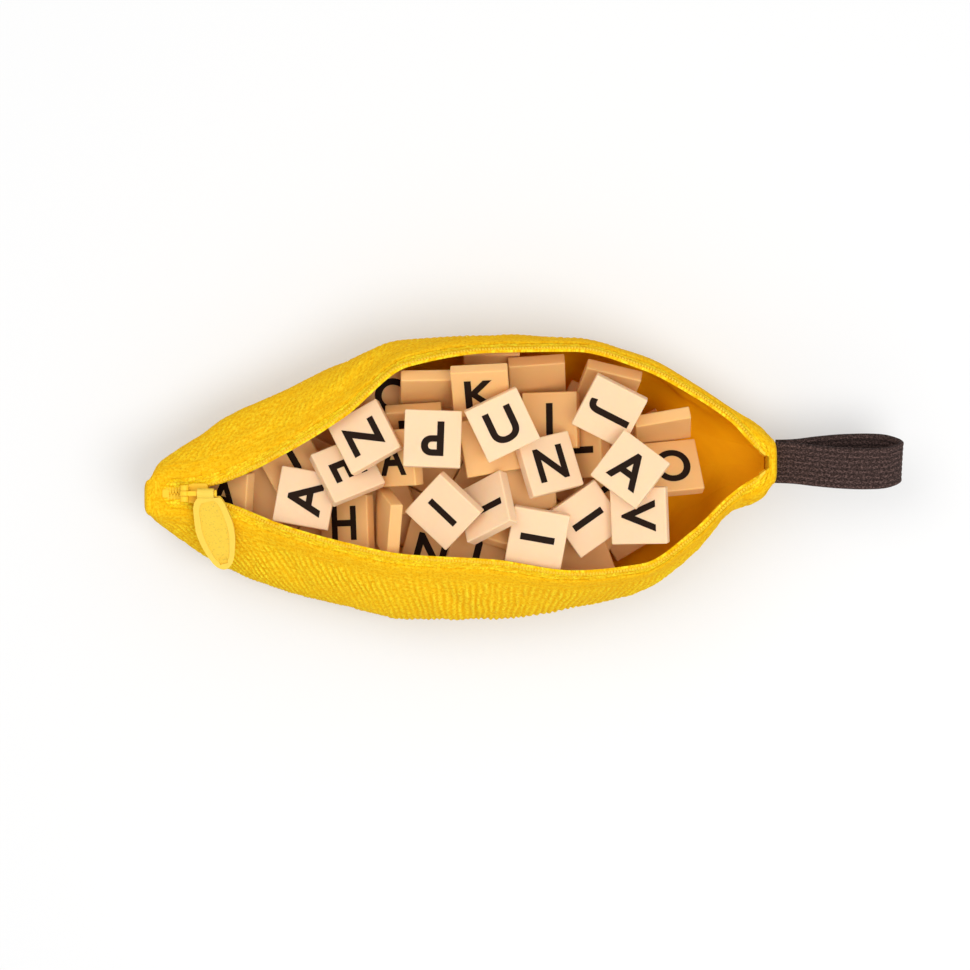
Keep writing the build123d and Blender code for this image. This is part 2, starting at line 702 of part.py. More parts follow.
def settle(place, placed):
    """Lower a tile onto the pile and let it slide and tip a little to a lower seat."""
    share_x, share_y, heading, lean_to, lean_by = place
    pose = [share_x * half_length, share_y * half_width, heading, lean_by]
    start = list(pose)

    def effort(trial):
        height = rest_height(trial[0], trial[1], tile_axes(trial[2], lean_to, trial[3]), placed)
        if height is None:
            return None
        moves = [weight * abs(a - b) for a, b, weight in zip(trial, start, MOVE_WEIGHTS)]
        return height + sum(moves)

    best = effort(pose)
    while best is None:
        pose[0], pose[1] = into_mouth(pose[0], pose[1])
        if abs(pose[0] - start[0]) + abs(pose[1] - start[1]) > TILE_SIDE:
            return None
        best = effort(pose)
    for scale in (1.0, 1.0, 0.5, 0.5, 0.25):
        for i, step in enumerate(MOVE_STEPS):
            for direction in (1, -1):
                trial = list(pose)
                trial[i] += direction * scale * step
                value = effort(trial)
                if value is not None and value < best - 0.05:
                    pose, best = trial, value
    axes = tile_axes(pose[2], lean_to, pose[3])
    return (pose[0], pose[1], rest_height(pose[0], pose[1], axes, placed)), axes


def hidden_tiles():
    """Layers of flat tiles under the visible ones, each layer turned against the last."""
    placed = []
    pitch = TILE_SIDE + TILE_GAP + 0.15
    steps = range(-ceil(half_length / pitch), ceil(half_length / pitch) + 1)
    for level in range(HEAP_LEVELS):
        turn = 31 * level
        axes = tile_axes(turn, 0, 0)
        ceiling = WALL_GAP + lining_top + LINING + (level + 0.9) * (TILE_THICKNESS + TILE_GAP)
        right = half_length * (HEAP_RIGHT - 0.07 * level)
        for i in steps:
            for j in steps:
                x = pitch * (i * cos(radians(turn)) - j * sin(radians(turn))) + 3 * level
                y = pitch * (i * sin(radians(turn)) + j * cos(radians(turn))) - 2 * level
                height = None
                if -heap_limit < x < right and abs(y) < half_width:
                    height = rest_height(x, y, axes, placed)
                if height is not None and height < ceiling:
                    placed.append(((x, y, height), axes))
    return placed


pile = hidden_tiles()
hidden_count = len(pile)
for place in SUNK_TILES + WALL_TILES + LOOSE_TILES:
    tile = settle(place, pile)
    if tile:
        pile.append(tile)

with BuildPart() as tile_blank:
    Box(TILE_SIDE, TILE_SIDE, TILE_THICKNESS)
    fillet(tile_blank.edges(), TILE_ROUNDING)


def tile_place(tile):
    """Where a tile lies, as a location for the blank."""
    centre, (reading, _, normal) = tile
    return Plane(origin=centre, x_dir=reading, z_dir=normal).location


with BuildPart() as buried_tiles:
    add([tile_blank.part.moved(tile_place(tile)) for tile in pile[:hidden_count]])

letter_tiles = []
for tile in pile[hidden_count:]:
    with BuildPart() as letter_tile:
        add(tile_blank.part.moved(tile_place(tile)))
    letter_tiles.append(letter_tile)

# ---------------------------------------------------------------- files
pieces = {
    "front_panel": front_panel,
    "back_panel": back_panel,
    "left_end_cap": left_end_cap,
    "right_end_cap": right_end_cap,
    "front_lining": front_lining,
    "back_lining": back_lining,
    "seam_binding": seam_binding,
    "zip_tape_front": zip_tape_front,
    "zip_tape_back": zip_tape_back,
    "zip_teeth_front": zip_teeth_front,
    "zip_teeth_back": zip_teeth_back,
    "zip_bottom_stop": zip_bottom_stop,
    "zip_top_stop_front": zip_top_stop_front,
    "zip_top_stop_back": zip_top_stop_back,
    "slider_body": slider_body,
    "slider_bridge": slider_bridge,
    "pull_link": pull_link,
    "pull_tab": pull_tab,
    "strap_anchor": strap_anchor,
    "strap_loop": strap_loop,
    "buried_tiles": buried_tiles,
}
for number, letter_tile in enumerate(letter_tiles, 1):
    pieces[f"letter_tile_{number:02d}"] = letter_tile

os.makedirs("parts", exist_ok=True)
for name, piece in pieces.items():
    piece.part.label = name
    export_step(piece.part, f"parts/{name}.step")
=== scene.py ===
"""Looks of a zipped cloth pouch of loose letter tiles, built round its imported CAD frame."""

import json
from math import atan2, cos, hypot, pi, radians, sin

import bpy
import numpy as np
from mathutils import Matrix, Vector

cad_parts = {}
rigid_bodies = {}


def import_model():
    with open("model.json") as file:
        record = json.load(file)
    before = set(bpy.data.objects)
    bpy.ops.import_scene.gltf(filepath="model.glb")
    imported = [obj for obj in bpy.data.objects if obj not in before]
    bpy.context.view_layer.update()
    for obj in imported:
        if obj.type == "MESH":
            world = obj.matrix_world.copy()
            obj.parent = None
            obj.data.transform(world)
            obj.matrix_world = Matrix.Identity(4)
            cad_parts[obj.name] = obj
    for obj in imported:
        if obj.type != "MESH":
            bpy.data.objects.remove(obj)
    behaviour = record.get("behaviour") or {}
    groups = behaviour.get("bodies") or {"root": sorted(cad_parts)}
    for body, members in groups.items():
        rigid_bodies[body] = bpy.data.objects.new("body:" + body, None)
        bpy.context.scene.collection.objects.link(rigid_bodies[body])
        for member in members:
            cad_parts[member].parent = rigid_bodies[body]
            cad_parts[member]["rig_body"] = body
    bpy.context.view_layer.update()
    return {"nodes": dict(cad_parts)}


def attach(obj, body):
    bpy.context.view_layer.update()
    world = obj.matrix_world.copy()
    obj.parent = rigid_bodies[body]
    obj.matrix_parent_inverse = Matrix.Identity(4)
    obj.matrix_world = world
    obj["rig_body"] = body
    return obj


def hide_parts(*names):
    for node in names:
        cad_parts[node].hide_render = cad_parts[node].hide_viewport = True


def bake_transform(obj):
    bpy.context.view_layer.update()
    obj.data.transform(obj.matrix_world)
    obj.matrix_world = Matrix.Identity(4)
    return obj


bl_info = {
    "name": "Letter Tile Pouch",
    "version": (1, 0, 0),
    "blender": (4, 5, 0),
    "location": "View3D > Sidebar > Tile Pouch",
    "description": "Dresses a zipped pouch with cloth, zip, strap, tiles and letters",
    "category": "Object",
}

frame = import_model()
NODES = frame["nodes"]
MM = 0.001

# ------------------------------------------------------------------ shape of the pouch, in mm
POUCH_LENGTH = 207.0
POUCH_WIDTH = 93.4
RIM_HEIGHT = 44.0
RIM_DROP = 0.216 * RIM_HEIGHT
BELLY_RISE = 0.386 * RIM_HEIGHT
END_CAP = 1.4
CLOTH = 1.1
TAPE_WIDTH = 9.0
TAB_THICKNESS = 1.8
STATIONS = [-1.0, -0.977, -0.90, -0.84, -0.77, -0.58, -0.38, -0.17, 0.1, 0.36, 0.58, 0.75, 0.87, 0.965, 1.0]
BACK_SIDE = [-0.02, 0.09, 0.22, 0.30, 0.41, 0.60, 0.82, 0.975, 1.005, 0.99, 0.87, 0.665, 0.49, 0.355, 0.27]
FRONT_SIDE = [-0.24, -0.30, -0.43, -0.52, -0.61, -0.775, -0.89, -0.985, -0.985, -0.905, -0.785, -0.525,
              -0.225, -0.13, -0.02]
BACK_RIM = [-0.097, -0.097, -0.096, -0.077, -0.040, 0.155, 0.42, 0.785, 0.885, 0.895, 0.77, 0.58, 0.40,
            0.17, 0.128]
FRONT_RIM = [-0.108, -0.108, -0.107, -0.125, -0.150, -0.315, -0.44, -0.53, -0.565, -0.645, -0.60, -0.36,
             -0.11, 0.05, 0.116]
BACK_FULLNESS = 0.66
FRONT_FULLNESS = 0.45
BELLY_CROWN = 0.3
FLANK_POINTS = 14
FRONT = -1
BACK = 1
HALF_LENGTH = POUCH_LENGTH / 2 - END_CAP
HALF_WIDTH = POUCH_WIDTH / 2


def word(side):
    return "back" if side == BACK else "front"


def slope_at(values, i):
    """Slope of a station list at one station, flat where the list turns."""
    if i in (0, len(STATIONS) - 1):
        j = min(i, len(STATIONS) - 2)
        return (values[j + 1] - values[j]) / (STATIONS[j + 1] - STATIONS[j])
    before = (values[i] - values[i - 1]) / (STATIONS[i] - STATIONS[i - 1])
    after = (values[i + 1] - values[i]) / (STATIONS[i + 1] - STATIONS[i])
    if before * after <= 0:
        return 0.0
    return 2 * before * after / (before + after)


def along(values, x):
    """Value of a station list at a place along the pouch, on a smooth curve."""
    share = max(-1.0, min(1.0, x / HALF_LENGTH))
    i = 0
    while i < len(STATIONS) - 2 and share > STATIONS[i + 1]:
        i += 1
    span = STATIONS[i + 1] - STATIONS[i]
    t = (share - STATIONS[i]) / span
    rise = values[i + 1] - values[i]
    m0, m1 = span * slope_at(values, i), span * slope_at(values, i + 1)
    return values[i] + t * m0 + t * t * (3 * rise - 2 * m0 - m1) + t ** 3 * (m0 + m1 - 2 * rise)


def rim_z(x):
    """Height of the mouth's rim, which sinks towards both ends."""
    return RIM_HEIGHT - RIM_DROP * min(1.0, abs(x) / (0.78 * HALF_LENGTH)) ** 2.5


def belly_z(x):
    """Height of the belly, which rises towards both ends."""
    bend = max(0.0, abs(x) / HALF_LENGTH - 0.42) / 0.58
    return BELLY_RISE * bend ** 2.2 - BELLY_CROWN


def seam_y(x):
    """Line of the seam along the belly."""
    left = HALF_WIDTH * FRONT_RIM[0]
    right = HALF_WIDTH * FRONT_RIM[-1]
    return left + (right - left) * (x + HALF_LENGTH) / POUCH_LENGTH


def key_points(x, side):
    """Belly seam, belly edge, lower flank, widest line, foot of the tape, rim."""
    sides = BACK_SIDE if side == BACK else FRONT_SIDE
    rims = BACK_RIM if side == BACK else FRONT_RIM
    fullness = BACK_FULLNESS if side == BACK else FRONT_FULLNESS
    y_side = HALF_WIDTH * along(sides, x)
    y_rim = HALF_WIDTH * along(rims, x)
    z_rim = rim_z(x)
    z_belly = belly_z(x)
    z_wide = z_belly + fullness * (z_rim - z_belly)
    mouth = HALF_WIDTH * (along(BACK_RIM, x) - along(FRONT_RIM, x))
    openness = max(0.12, min(0.85, mouth / 20.0))
    slope = openness * atan2(z_rim - z_wide, abs(y_side - y_rim))
    reach = min(TAPE_WIDTH * 0.75, 0.5 * hypot(y_side - y_rim, z_rim - z_wide))
    y_seam = seam_y(x)
    return [
        (y_seam, z_belly),
        (y_seam + 0.48 * (y_side - y_seam), z_belly),
        (y_seam + 0.90 * (y_side - y_seam), z_belly + 0.36 * (z_wide - z_belly)),
        (y_side, z_wide),
        (y_rim + side * reach * cos(slope), z_rim - reach * sin(slope)),
        (y_rim, z_rim),
    ]


def curve_point(p0, p1, p2, p3, chords, t):
    """Point between p1 and p2 on the smooth curve through four points."""
    result = []
    for a, b, c, d in zip(p0, p1, p2, p3):
        m1 = (c - b) + chords[1] * ((b - a) / chords[0] - (c - a) / (chords[0] + chords[1]))
        m2 = (c - b) + chords[1] * ((d - c) / chords[2] - (d - b) / (chords[1] + chords[2]))
        cubic = 2 * (b - c) + m1 + m2
        square = 3 * (c - b) - 2 * m1 - m2
        result.append(((cubic * t + square) * t + m1) * t + b)
    return tuple(result)


def smooth_line(keys, steps):
    """Points of the smooth curve through the key points, straight beyond both ends."""
    first = (2 * keys[0][0] - keys[1][0], 2 * keys[0][1] - keys[1][1])
    last = (2 * keys[-1][0] - keys[-2][0], 2 * keys[-1][1] - keys[-2][1])
    keys = [first] + list(keys) + [last]
    points = []
    for i in range(1, len(keys) - 2):
        p0, p1, p2, p3 = keys[i - 1:i + 3]
        chords = [max(1e-6, hypot(b[0] - a[0], b[1] - a[1])) ** 0.5
                  for a, b in ((p0, p1), (p1, p2), (p2, p3))]
        points += [curve_point(p0, p1, p2, p3, chords, step / steps) for step in range(steps)]
    points.append(keys[-2])
    return np.array(points)


def flank(x, side):
    """Outer line of one side of the pouch at x, from the belly seam to the rim."""
    keys = key_points(x, side)
    line = smooth_line(keys, FLANK_POINTS)
    line[:, 1] = np.maximum(line[:, 1], keys[0][1])
    return line


def lengths_along(line):
    """Length from the start of a flat line to each of its points."""
    return np.concatenate([[0.0], np.cumsum(np.hypot(*np.diff(line, axis=0).T))])


def at_lengths(values, lengths, want):
    """Values between a line's points, at the wanted lengths along it."""
    return np.stack([np.interp(want, lengths, column) for column in values.T], axis=1)


def measured(x, side):
    """The flank at x, and the length along it of each of its points."""
    line = flank(x, side)
    return line, lengths_along(line)


def pick(x, line, lengths, want):
    """Points of a flank at some lengths."""
    return np.column_stack([np.full(len(want), x), at_lengths(line, lengths, want)])


def wall(side, places, rows):
    """Grid of the outer surface. rows are lengths from the rim where negative, else from the seam."""
    columns = []
    for x in places:
        line, lengths = measured(x, side)
        columns.append(pick(x, line, lengths, np.where(rows < 0, lengths[-1] + rows, rows)))
    return np.stack(columns)


def spread(side, places, low, high, count, power=1.0):
    """Grid between two lengths of the flank, and each point's distance below the rim."""
    columns, below = [], []
    share = 1 - (1 - np.linspace(0, 1, count)) ** power
    for x, rise in zip(places, np.broadcast_to(high, len(places))):
        line, lengths = measured(x, side)
        want = low + (lengths[-1] + rise - low) * share
        columns.append(pick(x, line, lengths, want))
        below.append(lengths[-1] - want)
    return np.stack(columns), np.stack(below)


def outward(grid, side):
    """Unit normals of a grid, pointing out of the pouch."""
    du = np.gradient(grid, axis=0)
    dv = np.gradient(grid, axis=1)
    normal = np.cross(du, dv) * side
    length = np.linalg.norm(normal, axis=2, keepdims=True)
    return -normal / np.maximum(length, 1e-9)


def value_noise(u, v, seed):
    """Soft random hills between -1 and 1, one unit apart."""
    lattice = np.random.default_rng(seed).uniform(-1, 1, (64, 64))
    iu, iv = np.floor(u).astype(int), np.floor(v).astype(int)
    fu, fv = u - iu, v - iv
    fu, fv = fu * fu * (3 - 2 * fu), fv * fv * (3 - 2 * fv)
    a = lattice[iu % 64, iv % 64] * (1 - fu) + lattice[(iu + 1) % 64, iv % 64] * fu
    b = lattice[iu % 64, (iv + 1) % 64] * (1 - fu) + lattice[(iu + 1) % 64, (iv + 1) % 64] * fu
    return a * (1 - fv) + b * fv


def ramp(value, low, high):
    """0 below low, 1 above high, smooth between them."""
    t = np.clip((value - low) / (high - low), 0, 1)
    return t * t * (3 - 2 * t)


def creases(u, v, lines):
    """Sum of soft folds. Each has both ends, a width and a height, in mm."""
    total = np.zeros_like(u)
    for u0, v0, u1, v1, width, height in lines:
        along_u, along_v = u1 - u0, v1 - v0
        length = hypot(along_u, along_v)
        t = ((u - u0) * along_u + (v - v0) * along_v) / length ** 2
        off = ((u - u0) * along_v - (v - v0) * along_u) / length
        ends = ramp(t, -0.15, 0.25) * (1 - ramp(t, 0.75, 1.15))
        total += height * ends * np.exp(-(off / width) ** 2)
    return total


# ------------------------------------------------------------------ meshes
def make_object(name, points, faces, maps=None):
    """Mesh object from points in mm, with UV maps given by point."""
    mesh = bpy.data.meshes.new(name)
    mesh.from_pydata((np.asarray(points) * MM).tolist(), [], faces)
    corners = np.empty(len(mesh.loops), int)
    mesh.loops.foreach_get("vertex_index", corners)
    for label, values in (maps or {}).items():
        layer = mesh.uv_layers.new(name=label)
        layer.data.foreach_set("uv", np.asarray(values)[corners].astype(np.float32).ravel())
    mesh.validate()
    made = bpy.data.objects.new(name, mesh)
    bpy.context.scene.collection.objects.link(made)
    return made


def alone(made):
    """Makes one object the only one selected."""
    bpy.ops.object.select_all(action="DESELECT")
    made.select_set(True)
    bpy.context.view_layer.objects.active = made


def finish_mesh(made, angle):
    """Turns the faces outwards and smooths them."""
    alone(made)
    bpy.ops.object.mode_set(mode="EDIT")
    bpy.ops.mesh.select_all(action="SELECT")
    bpy.ops.mesh.normals_make_consistent(inside=False)
    bpy.ops.object.mode_set(mode="OBJECT")
    bpy.ops.object.shade_smooth_by_angle(angle=radians(angle))
    return made


def shell(name, top, under, maps):
    """Closed sheet of cloth from its two faces, which are grids of the same size."""
    columns, rows = top.shape[:2]
    count = columns * rows
    index = np.arange(count).reshape(columns, rows)
    low = index + count
    faces = []
    for a, b, c, d in (
            (index[:-1, :-1], index[1:, :-1], index[1:, 1:], index[:-1, 1:]),
            (low[:-1, 1:], low[1:, 1:], low[1:, :-1], low[:-1, :-1]),
            (index[:-1, -1], index[1:, -1], low[1:, -1], low[:-1, -1]),
            (low[:-1, 0], low[1:, 0], index[1:, 0], index[:-1, 0]),
            (low[0, :-1], index[0, :-1], index[0, 1:], low[0, 1:]),
            (index[-1, :-1], low[-1, :-1], low[-1, 1:], index[-1, 1:])):
        faces += np.stack([a.ravel(), b.ravel(), c.ravel(), d.ravel()], axis=1).tolist()
    points = np.concatenate([top.reshape(-1, 3), under.reshape(-1, 3)])
    doubled = {label: np.concatenate([values.reshape(-1, 2)] * 2) for label, values in maps.items()}
    return finish_mesh(make_object(name, points, faces, doubled), 60.0)


def bead(segments, rings):
    """Points and faces of a small rounded block, taken from a sphere primitive."""
    bpy.ops.object.select_all(action="DESELECT")
    bpy.ops.mesh.primitive_uv_sphere_add(segments=segments, ring_count=rings, radius=1)
    made = bpy.context.object
    points = np.array([v.co for v in made.data.vertices])
    faces = sorted(list(p.vertices) for p in made.data.polygons)     # Blender's own order is random
    bpy.data.meshes.remove(made.data)
    return np.sign(points) * np.abs(points) ** 0.7, faces


def repeat(name, block, centres, axes, sizes):
    """One object of many small blocks, each with its own place and three axes."""
    points, faces = block
    scaled = points * np.array(sizes)
    placed = centres[:, None, :] + np.einsum("pk,nkj->npj", scaled, axes)
    offsets = np.arange(len(centres)) * len(points)
    every = [[v + o for v in f] for o in offsets for f in faces]
    return finish_mesh(make_object(name, placed.reshape(-1, 3), every), 80.0)


# ------------------------------------------------------------------ finishes
class Finish:
    """A material with a Principled shader and short ways to add texture nodes."""

    def __init__(self, name, colour, roughness):
        self.material = bpy.data.materials.new(name)
        self.material.use_nodes = True
        self.tree = self.material.node_tree
        self.shader = self.tree.nodes["Principled BSDF"]
        self.shader.inputs["Base Color"].default_value = (*colour, 1)
        self.shader.inputs["Roughness"].default_value = roughness
        self.height = None

    def link(self, value, socket):
        self.tree.links.new(value, socket)

    def node(self, kind, **inputs):
        """Adds a node and sets some of its inputs."""
        made = self.tree.nodes.new(kind)
        for key, value in inputs.items():
            made.inputs[key].default_value = value
        return made

    def uv(self, label):
        made = self.node("ShaderNodeUVMap")
        made.uv_map = label
        return made.outputs[0]

    def place(self):
        return self.node("ShaderNodeTexCoord").outputs["Object"]

    def stretch(self, vector, scale):
        made = self.node("ShaderNodeMapping", Scale=scale)
        self.link(vector, made.inputs["Vector"])
        return made.outputs[0]

    def noise(self, vector, scale, detail=4.0, roughness=0.6):
        made = self.node("ShaderNodeTexNoise", Scale=scale, Detail=detail, Roughness=roughness)
        self.link(vector, made.inputs["Vector"])
        return made.outputs[0]

    def bands(self, vector, pitch, direction):
        made = self.node("ShaderNodeTexWave", Scale=pi / (10 * pitch))
        made.bands_direction = direction
        self.link(vector, made.inputs["Vector"])
        return made.outputs["Fac"]

    def math(self, operation, a, b):
        made = self.node("ShaderNodeMath")
        made.operation = operation
        for socket, value in zip(made.inputs, (a, b)):
            if isinstance(value, (int, float)):
                socket.default_value = value
            else:
                self.link(value, socket)
        return made.outputs[0]

    def between(self, value, low, high):
        made = self.node("ShaderNodeMapRange")
        made.inputs["To Min"].default_value = low
        made.inputs["To Max"].default_value = high
        self.link(value, made.inputs["Value"])
        return made.outputs[0]

    def blend(self, factor, colour_a, colour_b):
        made = self.node("ShaderNodeMix")
        made.data_type = "RGBA"
        self.link(factor, made.inputs["Factor"])
        for socket, value in ((made.inputs[6], colour_a), (made.inputs[7], colour_b)):
            if isinstance(value, tuple):
                socket.default_value = (*value, 1)
            else:
                self.link(value, socket)
        return made.outputs[2]

    def paint(self, colour):
        self.link(colour, self.shader.inputs["Base Color"])

    def rough(self, value):
        self.link(value, self.shader.inputs["Roughness"])

    def bump(self, value, distance, strength=1.0):
        """Adds a layer of relief, with its height in metres."""
        made = self.node("ShaderNodeBump", Distance=distance, Strength=strength)
        self.link(value, made.inputs["Height"])
        if self.height is not None:
            self.link(self.height, made.inputs["Normal"])
        self.height = made.outputs[0]
        self.link(self.height, self.shader.inputs["Normal"])

    def soften(self, weight):
        """Lets some light into the plastic, red deepest."""
        self.shader.inputs["Subsurface Weight"].default_value = weight
        self.shader.inputs["Subsurface Radius"].default_value = (0.0035, 0.0014, 0.0005)
        self.shader.inputs["Subsurface Scale"].default_value = 1.0


def tinted(colour, red, green, blue):
    return colour[0] * red, colour[1] * green, colour[2] * blue


def darker(colour, share):
    return tinted(colour, share, share, share)


def cloth_finish(name, colour, thread, ribs):
    """Woven cloth: crossing threads, slubs, faded patches and, where asked, ribs with painted shade in their
    valleys, painted highlight on their crests and painted amber shade where they are weak.
    """
    made = Finish(name, colour, 0.88)
    uv = made.uv("cloth")
    weave = made.math("MAXIMUM", made.bands(uv, thread, "X"), made.bands(uv, thread, "Y"))
    slubs = made.noise(made.stretch(uv, (0.42, 1.7, 1)), 0.75, 4.0, 0.62)
    tufts = made.noise(uv, 1.15, 4.0, 0.7)
    patches = made.noise(made.stretch(uv, (0.6, 1.3, 1)), 0.09, 3.0, 0.55)
    bright = (min(1.0, colour[0] * 1.05), min(1.0, colour[1] * 1.28), colour[2] * 6)
    deep = tinted(colour, 0.82, 0.58, 0.2)
    amber = tinted(colour, 0.94, 0.71, 1.0)
    tone = made.blend(made.between(patches, -0.9, 1.9), amber, colour)
    tone = made.blend(made.between(slubs, -2.8, 3.6), tone, bright)
    if ribs:
        rib = made.uv("rib")
        ridge = made.bands(rib, 1.0, "X")
        split = made.node("ShaderNodeSeparateXYZ")
        made.link(rib, split.inputs[0])
        # Painted shade: the rib valleys are painted darker.
        valley_shade = made.math("MULTIPLY", made.math("SUBTRACT", 1.0, ridge), split.outputs[1])
        tone = made.blend(valley_shade, tone, deep)
        # Painted highlight: the rib crests are painted brighter.
        crest_highlight = made.math("MULTIPLY", made.math("MULTIPLY", ridge, split.outputs[1]), 0.9)
        tone = made.blend(crest_highlight, tone, bright)
        # Painted shade: more amber where the ribs are weak, which is most of the back wall, the band at the
        # hem and the end cloths.
        amber_shade = made.math("MULTIPLY", made.math("SUBTRACT", 1.0, split.outputs[1]), 0.62)
        tone = made.blend(amber_shade, tone, amber)
    tone = made.blend(made.between(tufts, 3.2, -2.8), tone, deep)
    made.paint(tone)
    made.rough(made.between(tufts, 0.75, 1.0))
    made.bump(slubs, 0.0004, 0.6)
    made.bump(weave, 0.0001, 0.5)
    made.bump(tufts, 0.0005, 0.7)
    made.shader.inputs["Specular IOR Level"].default_value = 0.06
    made.shader.inputs["Sheen Weight"].default_value = 0.03
    made.shader.inputs["Sheen Tint"].default_value = (1.0, 0.7, 0.1, 1)
    return made.material


def lining_finish(name, colour):
    """Smooth, closely woven lining with a faint lustre."""
    made = Finish(name, colour, 0.7)
    uv = made.uv("cloth")
    threads = made.math("MAXIMUM", made.bands(uv, 0.32, "X"), made.bands(uv, 0.32, "Y"))
    cloudy = made.noise(made.stretch(uv, (0.6, 1.0, 1)), 0.11, 4.0, 0.55)
    fine = made.noise(uv, 1.7, 4.0, 0.6)
    warm = (min(1.0, colour[0] * 1.02), colour[1] * 1.13, colour[2])
    tone = made.blend(made.between(cloudy, -0.4, 1.4), darker(colour, 0.9), warm)
    made.paint(made.blend(made.between(fine, -0.05, 0.25), tone, darker(colour, 0.8)))
    made.rough(made.between(fine, 0.6, 0.85))
    made.bump(cloudy, 0.0006, 0.3)
    made.bump(threads, 0.00004, 0.5)
    made.shader.inputs["Specular IOR Level"].default_value = 0.1
    return made.material


def webbing_finish(name, colour):
    """Dark elastic webbing: lengthwise cords, cross threads, pale flecks of rubber and painted shade in the
    grooves between the cords.
    """
    made = Finish(name, colour, 0.85)
    uv = made.uv("cloth")
    cross = made.bands(uv, 0.55, "X")
    flecks = made.noise(made.stretch(uv, (1.0, 1.5, 1)), 1.25, 3.0, 0.75)
    rib = made.bands(made.uv("rib"), 1.0, "Y")
    pale = (0.17, 0.10, 0.088)
    spots = made.between(flecks, -3.2, 3.8)
    # Painted shade: the grooves between the cords are painted darker.
    groove = made.math("MULTIPLY", made.math("SUBTRACT", 1.0, rib), 0.55)
    made.paint(made.blend(groove, made.blend(spots, colour, pale), darker(colour, 0.35)))
    made.rough(made.between(flecks, 0.7, 1.0))
    made.bump(cross, 0.00022, 0.8)
    made.bump(flecks, 0.0003, 0.7)
    made.shader.inputs["Specular IOR Level"].default_value = 0.2
    return made.material


def moulded_finish(name, colour, roughness, fleck, relief, specular=0.3, subsurface=0.0):
    """Moulded plastic or rubber: faint flow marks, fine grain and scuffs."""
    made = Finish(name, colour, roughness)
    place = made.place()
    flow = made.noise(place, 90.0, 3.0, 0.5)
    grain = made.noise(place, fleck, 3.0, 0.6)
    scuffs = made.noise(made.stretch(place, (1.0, 6.0, 2.0)), 160.0, 6.0, 0.7)
    tone = made.blend(flow, darker(colour, 0.94), tuple(min(1.0, c * 1.03) for c in colour))
    made.paint(made.blend(made.between(grain, 0.0, 0.14), tone, darker(colour, 0.8)))
    made.rough(made.between(scuffs, roughness - 0.1, roughness + 0.14))
    made.bump(grain, relief, 0.5)
    made.shader.inputs["Specular IOR Level"].default_value = specular
    if subsurface:
        made.soften(subsurface)
    return made.material


def tab_finish(name, colour, node):
    """Soft moulded rubber, mottled and painted darker in the sunk panels of its two faces: partly a mottled
    moulding, partly painted shade of the recesses.
    """
    made = Finish(name, colour, 0.6)
    place = made.place()
    groups = face_groups(node)
    up, _, upper = max(groups[:2], key=lambda g: g[0][2])
    _, _, lower = min(groups[:2], key=lambda g: g[0][2])
    level = made.node("ShaderNodeVectorMath")
    level.operation = "DOT_PRODUCT"
    level.inputs[1].default_value = up
    made.link(place, level.inputs[0])
    away = made.math("SUBTRACT", level.outputs["Value"], float(np.dot(up, (upper + lower) / 2)))
    away = made.math("MULTIPLY", made.math("ABSOLUTE", away, 0.0), 2 / (TAB_THICKNESS * MM))
    grain = made.noise(place, 900.0, 4.0, 0.65)
    mottle = made.noise(place, 1500.0, 4.0, 0.7)
    # Painted shade: the sunk panels are painted darker and more orange, besides their mottle.
    panel = made.blend(made.between(mottle, -2.6, 2.3), tinted(colour, 0.98, 0.93, 0.62), darker(colour, 0.6))
    rim = made.blend(grain, darker(colour, 0.95), tuple(min(1.0, c * 1.04) for c in colour))
    made.paint(made.blend(made.between(away, 2.4, 0.0), rim, panel))
    made.rough(made.between(grain, 0.5, 0.75))
    made.bump(mottle, 0.00008, 0.7)
    made.shader.inputs["Specular IOR Level"].default_value = 0.2
    made.soften(0.1)
    return made.material


def ink_finish(name, colour):
    """Matt printed ink with small pores."""
    made = Finish(name, colour, 0.5)
    pores = made.noise(made.place(), 2600.0, 2.0, 0.5)
    made.paint(made.blend(pores, darker(colour, 0.75), tuple(c * 1.7 for c in colour)))
    made.rough(made.between(pores, 0.55, 0.75))
    made.bump(pores, 0.00002, 0.4)
    made.shader.inputs["Specular IOR Level"].default_value = 0.06
    return made.material


def coat(made, material):
    """Gives a piece one material in place of any that it has."""
    made.data.materials.clear()
    made.data.materials.append(material)


def dress(made, material, body, *replaced, slot=None):
    """Gives a piece its material, the body that it rides on and the solids that it stands for."""
    coat(made, material)
    if body:
        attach(made, body)
    if replaced:
        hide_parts(*replaced)
    return made


# ------------------------------------------------------------------ settings
class PouchSizes(bpy.types.PropertyGroup):
    """Sizes of the details that dress the pouch."""
    rib_pitch: bpy.props.FloatProperty(
        name="Rib pitch", description="Distance between the ribs of the outer cloth, at the hem",
        default=0.0023, min=0.0008, max=0.006, precision=4, unit="LENGTH")
    rib_relief: bpy.props.FloatProperty(
        name="Rib relief", description="Height of the ribs", default=0.0008, max=0.0015,
        precision=5, unit="LENGTH")
    coil_pitch: bpy.props.FloatProperty(
        name="Coil pitch", description="Distance between the turns of the zip's coil",
        default=0.001, min=0.0006, max=0.003, precision=5, unit="LENGTH")
    stitch_pitch: bpy.props.FloatProperty(
        name="Stitch pitch", description="Distance between the stitches of the hem",
        default=0.0026, min=0.001, max=0.006, precision=4, unit="LENGTH")
    letter_height: bpy.props.FloatProperty(
        name="Letter height", description="Height of the capital letters on the tiles",
        default=0.0112, min=0.004, max=0.016, precision=4, unit="LENGTH")
    webbing_ribs: bpy.props.IntProperty(
        name="Webbing ribs", description="Lengthwise ribs of the hand strap", default=8, min=3, max=14)


